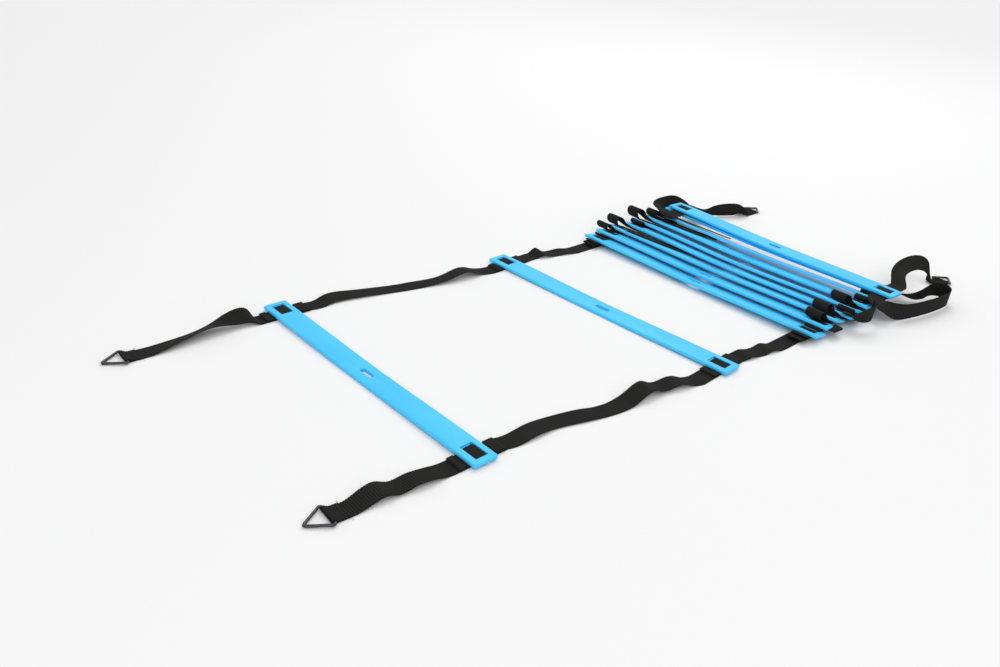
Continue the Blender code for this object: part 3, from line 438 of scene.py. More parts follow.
# Floor, light and camera
FLOOR_SIZE = 24
FLOOR_DROP = 0.0002
FLOOR_TONE = (0.86, 0.86, 0.862, 1.0)
NO_GLOW = (0.0, 0.0, 0.0, 1.0)
FAR_GLOW = (0.20, 0.20, 0.20, 1.0)
GLOW_START = 0.9
GLOW_FULL = 5.0
WORLD_TONE = (1.0, 1.0, 1.0, 1.0)
WORLD_STRENGTH = 0.79
LAMPS = (
    ("key_light", Vector((-0.9, 1.6, 2.4)), 1.6, 24.0),
    ("fill_light", Vector((1.5, -1.3, 2.0)), 2.0, 16.0),
)
CAMERA_PLACE = LADDER_PLACE + Vector((0.7273, -0.5150, 0.5518))
CAMERA_FORWARD = Vector((-0.6203, 0.6226, -0.4771)).normalized()
CAMERA_ROLL = math.radians(5.37)
CAMERA_SENSOR = 36.0
CAMERA_LENS = 31.30


# Shader maths


class Socket:
    """An output in a material, or a plain number, that takes part in sums."""

    def __init__(self, net, link):
        self.net = net
        self.link = link

    def maths(self, operation, *values):
        return self.net.add("ShaderNodeMath", {"operation": operation}, dict(enumerate(values)))

    def __add__(self, other):
        return self.maths("ADD", self, other)

    __radd__ = __add__

    def __sub__(self, other):
        return self.maths("SUBTRACT", self, other)

    def __rsub__(self, other):
        return self.maths("SUBTRACT", other, self)

    def __mul__(self, other):
        return self.maths("MULTIPLY", self, other)

    def __truediv__(self, other):
        return self.maths("DIVIDE", self, other)

    def __pow__(self, other):
        return self.maths("POWER", self, other)

    def step_down(self):
        """The whole number below a value."""
        return self.maths("FLOOR", self)

    def sine(self):
        return self.maths("SINE", self)

    def size(self):
        """The value without its sign."""
        return self.maths("ABSOLUTE", self)

    def over(self, low, high):
        """0 below low, 1 above high, and smooth between them."""
        values = {"Value": self, "From Min": low, "From Max": high}
        return self.net.add("ShaderNodeMapRange", {"interpolation_type": "SMOOTHSTEP"}, values)


class Finish:
    """A material and the nodes that make it."""

    def __init__(self, name):
        self.material = bpy.data.materials.new(name)
        self.material.use_nodes = True
        self.tree = self.material.node_tree
        self.shader = self.tree.nodes["Principled BSDF"]

    def add(self, kind, settings=None, values=None, output=0):
        """A node with its settings, its values or links, and the output that is wanted from it."""
        node = self.tree.nodes.new(kind)
        for key, value in (settings or {}).items():
            setattr(node, key, value)
        for key, value in (values or {}).items():
            self.feed(node.inputs[key], value)
        return Socket(self, node.outputs[output])

    def feed(self, socket, value):
        """Link a socket or set it."""
        if isinstance(value, Socket):
            self.tree.links.new(value.link, socket)
        else:
            socket.default_value = value

    def put(self, **values):
        """Set or link the shader's sockets, with underscores for spaces."""
        for key, value in values.items():
            self.feed(self.shader.inputs[key.replace("_", " ")], value)

    def mix(self, share, first, second):
        """Two colours mixed."""
        settings = {"data_type": "RGBA"}
        return self.add("ShaderNodeMix", settings, {0: share, 6: first, 7: second}, 2)

    def noise(self, place, scale, detail=3.0, roughness=0.5):
        values = {"Vector": place, "Scale": scale, "Detail": detail, "Roughness": roughness}
        return self.add("ShaderNodeTexNoise", None, values)

    def scaled(self, place, amounts):
        """A place with each of its axes multiplied."""
        settings = {"operation": "MULTIPLY"}
        return self.add("ShaderNodeVectorMath", settings, {0: place, 1: amounts})

    def bump(self, height, distance, strength):
        values = {"Height": height, "Distance": distance, "Strength": strength}
        return self.add("ShaderNodeBump", None, values)

    def solid(self):
        """The place on the object itself."""
        return self.add("ShaderNodeTexCoord", output=3)


def webbing_finish(name, dark, light, dust):
    """Woven webbing on the piece's own UV map, which is in metres, with painted shade in the weave's
    hollows.
    """
    finish = Finish(name)
    place = finish.add("ShaderNodeUVMap", {"uv_map": "UVMap"})
    parts = finish.tree.nodes.new("ShaderNodeSeparateXYZ")
    finish.feed(parts.inputs[0], place)
    across = Socket(finish, parts.outputs[0])
    along = Socket(finish, parts.outputs[1])
    rib = along / (ROW_PITCH * ROWS_PER_RIB) + 0.5
    row = (rib * 2).step_down()
    weft = (rib * math.pi).sine().size()
    yarn = across / YARN_PITCH + row * 0.5
    warp = (yarn * math.pi).sine().size()
    weave = warp ** 0.5 * weft ** 0.8
    solid = finish.solid()
    drift = finish.noise(solid, 22.0, 4.0)
    fluff = finish.noise(solid, 900.0, 3.0, 0.7)
    fade = finish.noise(finish.scaled(place, (60.0, 14.0, 1.0)), 3.0, 3.0)
    # The weave's yarn crowns are painted lighter than its hollows, which is painted shade in the weave,
    # under the random tone of fluff and fading
    tone = weave * 0.70 + fluff * 0.30 + fade * 0.25 - 0.20
    colour = finish.mix(tone, dark, light)
    dusty = (drift * fluff).over(0.30, 0.46) * 0.20
    finish.put(Base_Color=finish.mix(dusty, colour, dust))
    finish.put(Roughness=0.86 - weave * 0.16 + fade * 0.08)
    finish.put(Specular_IOR_Level=0.14)
    finish.put(Normal=finish.bump(weave + fluff * 0.3, 0.00022, 0.8))
    return finish.material


def plastic_finish(name, colour, deep, pale):
    """Satin moulded plastic with faint flow marks, fine grain and light scuffs."""
    finish = Finish(name)
    solid = finish.solid()
    flow = finish.noise(finish.scaled(solid, (6.0, 45.0, 45.0)), 1.0, 3.0)
    cloud = finish.noise(solid, 9.0, 2.0)
    grain = finish.noise(solid, 1400.0, 2.0, 0.6)
    scratch = finish.noise(finish.scaled(solid, (40.0, 900.0, 300.0)), 1.0, 2.0, 0.6)
    scuff = scratch.over(0.66, 0.80) * cloud.over(0.45, 0.65)
    tone = flow.over(0.30, 0.70) * 0.5 + cloud.over(0.30, 0.70) * 0.5
    base = finish.mix(tone, colour, deep)
    finish.put(Base_Color=finish.mix(scuff * 0.22, base, pale))
    finish.put(Roughness=0.36 + grain * 0.08 + scuff * 0.16 + flow * 0.05)
    finish.put(Specular_IOR_Level=0.32)
    finish.put(Normal=finish.bump(grain * 0.5 + scratch * 0.2 + cloud * 2.0, 0.00005, 0.6))
    return finish.material


def wire_finish(name, colour, worn):
    """Glossy black coating on wire, rubbed a little."""
    finish = Finish(name)
    solid = finish.solid()
    peel = finish.noise(solid, 700.0, 2.0)
    rub = finish.noise(solid, 160.0, 4.0, 0.65)
    bare = rub.over(0.62, 0.72)
    finish.put(Base_Color=finish.mix(bare * 0.5, colour, worn))
    finish.put(Roughness=0.24 + peel * 0.12 + bare * 0.18)
    finish.put(Metallic=0.25, Coat_Roughness=0.15)
    finish.put(Coat_Weight=0.5 - bare * 0.3)
    finish.put(Normal=finish.bump(peel, 0.00006, 0.7))
    return finish.material


def thread_finish(name, colour, light):
    """Sewing thread with its twist."""
    finish = Finish(name)
    solid = finish.solid()
    twist = finish.noise(solid, 2600.0, 2.0)
    finish.put(Base_Color=finish.mix(twist.over(0.35, 0.65), colour, light))
    finish.put(Roughness=0.62 + twist * 0.2)
    finish.put(Specular_IOR_Level=0.4)
    finish.put(Normal=finish.bump(twist, 0.0001, 0.6))
    return finish.material


# Mesh helpers


def deselect_all():
    """Leave no object selected."""
    bpy.ops.object.select_all(action="DESELECT")


def pick(piece):
    """Select one object alone and make it active."""
    deselect_all()
    piece.select_set(True)
    bpy.context.view_layer.objects.active = piece


def placed(name, data):
    """A new object in the scene that holds the given data."""
    piece = bpy.data.objects.new(name, data)
    bpy.context.scene.collection.objects.link(piece)
    return piece


def round_curve(name, kind, radius, resolution):
    """A curve with a round body, and its one spline."""
    curve = bpy.data.curves.new(name, "CURVE")
    curve.dimensions = "3D"
    curve.bevel_depth = radius
    curve.bevel_resolution = resolution
    return curve, curve.splines.new(kind)


def as_smooth_mesh(piece):
    """A curve's object turned into a smooth mesh."""
    pick(piece)
    bpy.ops.object.convert(target="MESH")
    bpy.ops.object.shade_smooth()
    return bpy.context.object


def settle(piece, name, material, body, *nodes):
    """Name a finished piece, apply its place, give it its finish and its body."""
    pick(piece)
    bpy.ops.object.transform_apply(location=True, rotation=True, scale=True)
    piece.name = name
    piece.data.name = name
    piece.data.materials.clear()
    piece.data.materials.append(material)
    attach(piece, body)
    if nodes:
        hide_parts(*nodes)
    return piece


def in_edit(piece, steps):
    """Run edit mode steps with the whole mesh selected."""
    pick(piece)
    bpy.ops.object.mode_set(mode="EDIT")
    bpy.ops.mesh.select_all(action="SELECT")
    steps()
    bpy.ops.object.mode_set(mode="OBJECT")


# Webbing


def rounded(stations):
    """A denser line through stations with its corners eased, tightly where it turns sharply."""
    made = [stations[0]]
    for before, here, after in zip(stations, stations[1:], stations[2:]):
        back = before[0] - here[0]
        ahead = after[0] - here[0]
        cut = min(back.length, ahead.length) / 2
        if math.pi - back.angle(ahead) > SHARP_TURN:
            cut = min(cut, SHARP_CUT)
        start = here[0] + back.normalized() * cut
        end = here[0] + ahead.normalized() * cut
        start_across = here[1].lerp(before[1], cut / back.length)
        end_across = here[1].lerp(after[1], cut / ahead.length)
        for step in range(CORNER_STEPS + 1):
            share = step / CORNER_STEPS
            place = start.lerp(here[0], share).lerp(here[0].lerp(end, share), share)
            across = start_across.lerp(here[1], share).lerp(here[1].lerp(end_across, share), share)
            made.append((place, across))
    made.append(stations[-1])
    return made


def evened(stations):
    """The same line read at even steps of about a row's pitch, with whole ribs."""
    places = np.array([station[0] for station in stations])
    across = np.array([station[1] for station in stations])
    steps = np.linalg.norm(np.diff(places, axis=0), axis=1)
    keep = np.concatenate(([True], steps > RIBBON_WELD))
    places = places[keep]
    across = across[keep]
    reach = np.concatenate(([0.0], np.cumsum(np.linalg.norm(np.diff(places, axis=0), axis=1))))
    rows = ROWS_PER_RIB * max(1, round(reach[-1] / ROW_PITCH / ROWS_PER_RIB))
    wanted = np.linspace(0.0, reach[-1], rows + 1)
    places = np.stack([np.interp(wanted, reach, places[:, axis]) for axis in range(3)], axis=1)
    across = np.stack([np.interp(wanted, reach, across[:, axis]) for axis in range(3)], axis=1)
    across /= np.linalg.norm(across, axis=1, keepdims=True)
    return wanted, places, across


def webbing_section():
    """The ribbon's outline seen from its end, once round: across in half widths, and up in half webs."""
    edge = 1 - SELVEDGE_INSET / HALF_WIDTH
    selvedge = SELVEDGE_THICKNESS / WEBBING_THICKNESS
    top = [(-1.0, selvedge), (-edge, 1.0), (-0.66, 1.0), (-0.33, 1.0), (0.0, 1.0)]
    top += [(-side, up) for side, up in reversed(top[:-1])]
    bottom = [(side, -up) for side, up in reversed(top)]
    return np.array(top + bottom + top[:1])


def webbing(name, stations, body, material, *nodes):
    """One closed ribbed ribbon of webbing that follows stations given in the ladder's frame."""
    reach, places, across = evened(rounded(stations))
    places = places + np.array(LADDER_PLACE)
    section = webbing_section()
    rows = len(reach) - 1
    columns = len(section) - 1
    bpy.ops.mesh.primitive_grid_add(x_subdivisions=columns, y_subdivisions=rows, size=2)
    ribbon = bpy.context.object
    mesh = ribbon.data
    grid = np.empty(len(mesh.vertices) * 3)
    mesh.vertices.foreach_get("co", grid)
    grid = grid.reshape(-1, 3)
    column = np.rint((grid[:, 0] + 1) / 2 * columns).astype(int)
    row = np.rint((grid[:, 1] + 1) / 2 * rows).astype(int)
    ahead = np.gradient(places, axis=0)
    up = np.cross(across, ahead)
    up /= np.linalg.norm(up, axis=1, keepdims=True)
    groove = 0.5 - 0.5 * np.cos(row * (2 * math.pi / ROWS_PER_RIB))
    side = section[column, 0]
    inset = np.where(np.abs(side) > SELVEDGE_START, SCALLOP_DEPTH, 0.0) * groove
    out = side * HALF_WIDTH - np.sign(side) * inset
    lift = section[column, 1] * (HALF_WEB - RIB_DEPTH * groove)
    made = places[row] + across[row] * out[:, None] + up[row] * lift[:, None]
    mesh.vertices.foreach_set("co", made.ravel())
    corners = np.empty(len(mesh.loops), dtype=int)
    mesh.loops.foreach_get("vertex_index", corners)
    map_places = np.stack((side * HALF_WIDTH, row * ROW_PITCH), axis=1)
    mesh.uv_layers["UVMap"].data.foreach_set("uv", map_places[corners].ravel())
    mesh.update()
    in_edit(ribbon, close_ribbon)
    bpy.ops.object.shade_smooth_by_angle(angle=WEBBING_SMOOTH_ANGLE)
    return settle(ribbon, name, material, body, *nodes)


def close_ribbon():
    """Join the ribbon's long seam, close its ends and turn it outwards."""
    bpy.ops.mesh.remove_doubles(threshold=RIBBON_WELD)
    bpy.ops.mesh.select_all(action="SELECT")
    bpy.ops.mesh.fill_holes(sides=0)
    bpy.ops.mesh.select_all(action="SELECT")
    bpy.ops.mesh.normals_make_consistent(inside=False)


# Routes of the straps


def rung_matrix(side, back, lift, turn, tilt):
    """A rung's place: its middle's underside, its turn about Z and its lean about its length."""
    place = Matrix.Translation(Vector((side, back, lift)))
    return place @ Matrix.Rotation(turn, 4, "Z") @ Matrix.Rotation(tilt, 4, "X")


def across_vector(turn, bank):
    """The direction across the webbing, turned about Z and then banked up on its right."""
    level = math.cos(bank)
    return Vector((math.cos(turn) * level, math.sin(turn) * level, math.sin(bank)))


def resting_height(banked):
    """The height of the webbing's middle when its lower edge is on the ground."""
    return HALF_WEB + abs(math.sin(banked)) * HALF_WIDTH


def smooth_rows(rows, steps):
    """Rows of numbers read along a smooth curve through the given rows."""
    ends = [rows[0]] + list(rows) + [rows[-1]]
    spans = len(rows) - 1
    made = []
    for number in range(steps + 1):
        place = spans * number / steps
        span = min(int(place), spans - 1)
        made.append(smooth_between(ends[span:span + 4], place - span))
    return made


def smooth_between(four, share):
    """One row of a Catmull-Rom span."""
    row = []
    for one, two, three, last in zip(*four):
        linear = three - one
        squared = 2 * one - 5 * two + 4 * three - last
        cubed = 3 * two - one - 3 * three + last
        row.append((2 * two + linear * share + squared * share ** 2 + cubed * share ** 3) / 2)
    return row


def run_stations(start, end, shares, steps):
    """Stations of a loose run on the ground between two places."""
    stations = []
    for along, side, lift, bank in smooth_rows(shares, steps):
        banked = math.radians(bank)
        height = max(HALF_WEB + lift * WEBBING_WIDTH, resting_height(banked))
        point = start.lerp(end, along)
        middle = Vector((point.x + side * WEBBING_WIDTH, point.y, height))
        stations.append((middle, across_vector(0, banked)))
    return stations


def half_run(stations, wanted, line):
    """The part of a run before (-1) or past (1) a fold line across the ladder."""
    cut_line = line + wanted * BUTT_GAP / 2
    kept = [station for station in stations if wanted * (station[0].y - cut_line) > SEAT_GAP]
    crossing = station_at(stations, cut_line)
    return [crossing] + kept if wanted > 0 else kept + [crossing]


def station_at(stations, line):
    """The station where a run along the ladder crosses a line."""
    for before, after in zip(stations, stations[1:]):
        if before[0].y <= line <= after[0].y:
            share = (line - before[0].y) / (after[0].y - before[0].y)
            return before[0].lerp(after[0], share), ACROSS
    raise ValueError("the run does not cross the line")


def share_stations(shares, anchor, steps):
    """Stations of a loose run given in webbing widths from an anchor."""
    stations = []
    for side, back, up, turn, bank in smooth_rows(shares, steps):
        banked = math.radians(bank)
        middle = anchor + Vector((side, back, up)) * WEBBING_WIDTH
        middle.z = max(middle.z, resting_height(banked))
        stations.append((middle, across_vector(math.radians(turn), banked)))
    return stations


def end_directions(turn, facing):
    """The directions across a strap's end, and along it away from its wire."""
    across = across_vector(turn, 0)
    return across, Vector((-across.y, across.x, 0)) * facing


def loop_stations(wire, turn, facing):
    """The strap's end round a ring's wire and back above itself."""
    across, along = end_directions(turn, facing)
    made = []
    for number in range(LOOP_STEPS + 1):
        angle = math.radians(LOOP_START - LOOP_SWEEP * number / LOOP_STEPS)
        rise = UPWARD * (WIRE_HEIGHT + LOOP_RADIUS * math.sin(angle))
        made.append((wire + along * (LOOP_RADIUS * math.cos(angle)) + rise, across))
    hem_level = UPWARD * (HALF_WEB + LAYER)
    made.append((wire + along * LOOP_CLOSING + hem_level, across))
    made.append((wire + along * LOOP_HEM + hem_level, across))
    return made


class SideView:
    """A rung seen from its end: places its local points in the ladder's frame."""

    def __init__(self, place, hand):
        self.place = place
        self.hand = hand
        self.window = place @ Vector((hand * WINDOW_MIDDLE, 0, 0))

    def point(self, along, up, shift=0.0):
        """A point beside the window, along and up from the rung's underside."""
        made = self.place @ Vector((self.hand * WINDOW_MIDDLE, along, up))
        made.x = self.window.x + shift
        return made

    def local(self, point):
        """A point's place along and up from the rung's underside."""
        made = self.place.inverted() @ Vector((self.window.x, point.y, point.z))
        return made.y, made.z


def arc(centre, radius, start, end, steps):
    """Places around a circle, as pairs."""
    made = []
    for number in range(steps + 1):
        angle = math.radians(start + (end - start) * number / steps)
        made.append((centre[0] + radius * math.cos(angle), centre[1] + radius * math.sin(angle)))
    return made


def leaving_angle(centre, radius, goal):
    """Where a path that runs clockwise round a circle leaves it straight for a goal, in degrees."""
    side, up = goal[0] - centre[0], goal[1] - centre[1]
    return math.degrees(math.atan2(up, side) + math.acos(radius / math.hypot(side, up)))


def back_turn(view, hang):
    """The strap behind a rung: a plain turn upward, or slack that hangs to the ground first."""
    if hang == 0:
        turn = arc((PAST_EDGE, TURN_LEVEL), TURN_RADIUS, -90, 90, TURN_STEPS)
        return [view.point(along, up) for along, up in turn]
    leave = view.point(PAST_EDGE, STRAP_LEVEL)
    slack = hang * WEBBING_WIDTH
    middle = (leave.y + slack + TURN_RADIUS / 2, HALF_WEB + slack)
    made = [leave]
    for back, up in arc(middle, slack, HANG_START, HANG_END, TURN_STEPS + 1):
        made.append(Vector((leave.x, back, up)))
    made.append(view.point(PAST_EDGE + SEAT_GAP, RETURN_LEVEL - HALF_WEB))
    made.append(view.point(PAST_EDGE - WEBBING_THICKNESS, RETURN_LEVEL + SEAT_GAP / 3))
    return made


def front_tube(lower, upper, radius, shift):
    """The strap on top of one rung, rolled into a tube in front of the next one and led under it."""
    entry = upper.point(-HALF_RUNG - ENTRY_CLEARANCE, STRAP_LEVEL)
    front_along = lower.local(upper.point(-HALF_RUNG, 0))[0]
    along = front_along - radius - TUBE_CLEARANCE
    over = []
    goal = lower.local(entry)
    if front_along > HALF_RUNG:
        along = min(along, HALF_RUNG - radius)
        clear = TURN_RADIUS + OVER_TURN_CLEARANCE
        over = arc((PAST_EDGE, TURN_LEVEL), clear, OVER_START, OVER_END, OVER_STEPS)
        goal = over[0]
    centre = (along, RETURN_LEVEL + radius)
    circle = arc(centre, radius, -90, leaving_angle(centre, radius, goal) - 360, TUBE_STEPS)
    made = []
    for number, place in enumerate(circle):
        drift = math.sin(math.pi * (ENTRY_DRIFT_SHARE + number / TUBE_STEPS / 2))
        made.append(lower.point(place[0], place[1], shift * drift))
    made += [lower.point(place[0], place[1], shift * ENTRY_DRIFT_SHARE) for place in over]
    made.append(entry)
    return made


def pocket(view, shift):
    """The strap in front of the stack, folded once on the ground and led under the first rung."""
    entry = view.point(-PAST_EDGE, STRAP_LEVEL)
    low = HALF_WEB + POCKET_FLOOR_RADIUS
    shelf = low + POCKET_FLOOR_RADIUS
    radius = (entry.z - shelf) / 2
    places = [(STACK_LINE + BUTT_GAP / 2, HALF_WEB)]
    places += arc((POCKET_BACK, low), POCKET_FLOOR_RADIUS, -90, 90, TURN_STEPS)
    places += arc((POCKET_FRONT, shelf + radius), radius, -90, -270, TURN_STEPS)
    made = []
    for number, place in enumerate(places):
        fade = 1 - number / len(places)
        made.append(Vector((entry.x + shift * fade, place[0], place[1])))
    made.append(entry)
    return made


def far_anchor(view):
    """Where the strap under the stack's last rung reaches the far tail's fold line."""
    leave = view.point(HALF_RUNG, STRAP_LEVEL)
    lean = view.place.to_3x3() @ ONWARD
    reach = (FAR_TAIL_LINE - leave.y) / lean.y
    return Vector((leave.x, FAR_TAIL_LINE, leave.z + lean.z * reach))


def stack_strap_stations(hand, places):
    """The whole folded strap of one side of the stack."""
    views = [SideView(place, hand) for place in places]
    points = pocket(views[0], START_SHIFTS[hand])
    for lower, upper, (tube, shift, hang) in zip(views, views[1:], FOLD_SHARES[hand]):
        points += back_turn(lower, hang)
        points += front_tube(lower, upper, tube * WEBBING_WIDTH, shift * WEBBING_WIDTH)
    points.append(views[-2].point(PAST_EDGE, STRAP_LEVEL))
    stations = [(point, ACROSS) for point in points]
    anchor = far_anchor(views[-1])
    stations += share_stations(LOOP_SHARES[hand], anchor, LOOP_RUN_STEPS)
    last = ACROSS * math.copysign(1, stations[-1][1].x)
    stations.append((views[-1].point(-PAST_EDGE, STRAP_LEVEL), last))
    stations.append((anchor - BUTT_INSET, last))
    return stations


def strap_place(place, hand, line):
    """Where the strap under a laid rung crosses a line across the ladder."""
    window = place @ (ACROSS * (hand * WINDOW_MIDDLE))
    lean = place.to_3x3() @ ONWARD
    point = window + lean * ((line - window.y) / lean.y)
    return Vector((point.x, line, 0))


def keeper_profile(front, back):
    """The keeper's line over the bar, as places along and up from the rung's underside."""
    crown = RUNG_THICKNESS - HALF_WEB
    half = [
        (WINDOW_WIDTH / 2, KEEPER_LEVEL),
        (WINDOW_WIDTH / 2 - HALF_WEB - SEAT_GAP, KEEPER_LEVEL + SEAT_GAP / 2),
        (WINDOW_WIDTH / 2 - HALF_WEB - SEAT_GAP, crown - LAYER / 2),
        (BAR_WIDTH / 2, crown - SEAT_GAP / 2),
    ]
    profile = [(-along, up) for along, up in hem_profile(front) + half] + [(0, crown)]
    return profile + [(along, up) for along, up in reversed(hem_profile(back) + half)]


def hem_profile(reach):
    """One end of the keeper, folded back on itself where it is long enough."""
    end = HALF_RUNG + reach
    if reach < KEEPER_HEM_REACH:
        return [(end, KEEPER_LEVEL)]
    radius = LAYER / 2
    turn = arc((end - radius, KEEPER_LEVEL + radius), radius, 90, -90, HEM_TURN_STEPS)
    return [(HALF_RUNG + KEEPER_HEM_END, KEEPER_LEVEL + LAYER)] + turn


# Pieces


def dressed_rung(number, body, material):
    """A rung whose moulded edges are softened."""
    name = "rung_%02d" % number
    piece = placed(name + "_moulding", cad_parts[name].data.copy())
    in_edit(piece, merge_faces)
    soft = piece.modifiers.new("softened_edges", "BEVEL")
    soft.width = EDGE_SOFTENING
    soft.segments = 2
    soft.limit_method = "ANGLE"
    soft.angle_limit = SOFTENED_ANGLE
    soft.use_clamp_overlap = True
    bpy.ops.object.modifier_apply(modifier=soft.name)
    bpy.ops.object.shade_smooth_by_angle(angle=RUNG_SMOOTH_ANGLE)
    return settle(piece, name + "_moulding", material, body, name)


def merge_faces():
    """Join a copied solid's loose triangles into flat faces."""
    bpy.ops.mesh.remove_doubles(threshold=SOLID_WELD)
    bpy.ops.mesh.select_all(action="SELECT")
    bpy.ops.mesh.dissolve_limited(angle_limit=FLAT_FACE_ANGLE)


def gate_mark(name, place, hand, body, material):
    """The little pale dimple that moulding leaves on a rung's end face."""
    bpy.ops.mesh.primitive_cylinder_add(vertices=GATE_SIDES, radius=GATE_RADIUS, depth=2 * GATE_STAND)
    mark = bpy.context.object
    in_edit(mark, lambda: bpy.ops.mesh.bevel(offset=GATE_STAND / 2, segments=2, affect="EDGES"))
    seat = Vector((hand * RUNG_LENGTH / 2, 0, GATE_HEIGHT))
    turned = Matrix.Rotation(math.pi / 2, 4, "Y")
    mark.matrix_world = Matrix.Translation(LADDER_PLACE) @ place @ Matrix.Translation(seat) @ turned
    return settle(mark, name, material, body)


def wire_triangle(name, wire, turn, body, material):
    """A triangle of bent wire that leans with its tip on the ground."""
    half = RING_SIDE / 2 - WIRE_RADIUS
    corners = [Vector((-half, 0, 0)), Vector((half, 0, 0)), Vector((0, 2 * WIRE_RADIUS - RING_REACH, 0))]
    points = []
    for number, corner in enumerate(corners):
        before = (corners[number - 1] - corner).normalized()
        after = (corners[(number + 1) % 3] - corner).normalized()
        half_angle = before.angle(after) / 2
        middle = corner + (before + after).normalized() * (RING_BEND / math.sin(half_angle))
        start = corner + before * (RING_BEND / math.tan(half_angle)) - middle
        end = corner + after * (RING_BEND / math.tan(half_angle)) - middle
        for step in range(RING_BEND_STEPS + 1):
            points.append(middle + start.slerp(end, step / RING_BEND_STEPS) * RING_BEND)
    curve, spline = round_curve(name, "POLY", WIRE_RADIUS, WIRE_RESOLUTION)
    spline.points.add(len(points) - 1)
    for target, point in zip(spline.points, points):
        target.co = (point.x, point.y, point.z, 1)
    spline.use_cyclic_u = True
    piece = placed(name, curve)
    lean = math.asin((WIRE_HEIGHT - WIRE_RADIUS) / (RING_REACH - 2 * WIRE_RADIUS))
    place = Matrix.Translation(LADDER_PLACE + wire + UPWARD * WIRE_HEIGHT)
    piece.matrix_world = place @ Matrix.Rotation(turn, 4, "Z") @ Matrix.Rotation(lean, 4, "X")
    return settle(as_smooth_mesh(piece), name, material, body, name.replace("_wire", ""))


def stitch_row(name, middle, across, up, body, material):
    """A row of stitches that lie across the webbing, half sunk into it."""
    count = int(SEAM_WIDTH / STITCH_PITCH)
    ahead = up.cross(across)
    turn = Matrix((across, ahead, up)).transposed().to_4x4()
    laid = Matrix.Rotation(math.pi / 2, 4, "Y")
    bpy.ops.mesh.primitive_cylinder_add(vertices=STITCH_SIDES, radius=STITCH_RADIUS, depth=STITCH_LENGTH)
    first = bpy.context.object
    in_edit(first, lambda: bpy.ops.mesh.bevel(offset=STITCH_ROUNDING, segments=2, affect="EDGES"))
    row = [first] + [placed(name, first.data.copy()) for copy in range(1, count)]
    for number, stitch in enumerate(row):
        along = (number - (count - 1) / 2) * STITCH_PITCH
        stitch.matrix_world = Matrix.Translation(LADDER_PLACE + middle + across * along) @ turn @ laid
        stitch.select_set(True)
    bpy.ops.object.join()
    bpy.ops.object.shade_smooth()
    return settle(first, name, material, body)


def loose_thread(name, points, body, material):
    """A short end of sewing thread that stands out of a hem."""
    curve, spline = round_curve(name, "BEZIER", THREAD_RADIUS, THREAD_RESOLUTION)
    curve.use_fill_caps = True
    spline.bezier_points.add(len(points) - 1)
    for target, point in zip(spline.bezier_points, points):
        target.co = LADDER_PLACE + point
        target.handle_left_type = "AUTO"
        target.handle_right_type = "AUTO"
    return settle(as_smooth_mesh(placed(name, curve)), name, material, body)


# Finishes
BLUE = plastic_finish(
    "blue_plastic", (0.060, 0.585, 0.975, 1.0), (0.044, 0.530, 0.945, 1.0), (0.36, 0.75, 0.99, 1.0)
)
BLACK = webbing_finish(
    "black_webbing", (0.0025, 0.0025, 0.0025, 1.0), (0.024, 0.0236, 0.0215, 1.0), (0.060, 0.058, 0.053, 1.0)
)
COATED = wire_finish("black_coating", (0.018, 0.017, 0.022, 1.0), (0.10, 0.10, 0.11, 1.0))
THREAD = thread_finish("sewing_thread", (0.020, 0.020, 0.019, 1.0), (0.060, 0.058, 0.053, 1.0))
GATE = plastic_finish("gate_mark", (0.42, 0.74, 0.97, 1.0), (0.30, 0.66, 0.95, 1.0), (0.75, 0.90, 1.0, 1.0))

# Rungs, keepers and gate marks
FIRST_PLACE = rung_matrix(0, 0, UNDER_RUNG, 0, 0)
SECOND_PLACE = rung_matrix(SECOND_RUNG_SIDE, SECOND_RUNG_BACK, UNDER_RUNG, SECOND_RUNG_TURN, 0)
rungs = [
    (1, "near_rung", FIRST_PLACE, LAID_KEEPER_FRONT, LAID_KEEPER_BACK),
    (2, "second_rung", SECOND_PLACE, LAID_KEEPER_FRONT, LAID_KEEPER_BACK),
]
stack_places = {}
for number, (name, side, back, lift, turn, tilt, front, behind) in enumerate(STACKED_SHARES, 3):
    place = rung_matrix(
        STACK_SIDE + side * RUNG_WIDTH, STACK_BACK + back * RUNG_WIDTH, lift * RUNG_THICKNESS,
        math.radians(turn), math.radians(tilt),
    )
    stack_places[name] = place
    rungs.append((number, "stack", place, front * RUNG_WIDTH, behind * RUNG_WIDTH))
gathered = list(stack_places.values())

for number, body, place, front, behind in rungs:
    dressed_rung(number, body, BLUE)
    across = place.to_3x3() @ ACROSS
    up = place.to_3x3() @ UPWARD
    for hand, side in HAND_NAMES.items():
        stations = []
        for along, height in keeper_profile(front, behind):
            stations.append((place @ Vector((hand * WINDOW_MIDDLE, along, height)), across))
        keeper = "keeper_%02d_%s" % (number, side)
        webbing(keeper + "_webbing", stations, body, BLACK, keeper)
        gate_mark("gate_mark_%02d_%s" % (number, side), place, hand, body, GATE)
        for end, facing, reach in (("front", -1, front), ("back", 1, behind)):
            if reach >= KEEPER_HEM_REACH:
                seam = facing * (HALF_RUNG + (KEEPER_HEM_END + reach) / 2)
                middle = place @ Vector((hand * WINDOW_MIDDLE, seam, KEEPER_LEVEL + LAYER + HALF_WEB))
                stitch_row("%s_seam_%s" % (keeper, end), middle, across, up, body, THREAD)

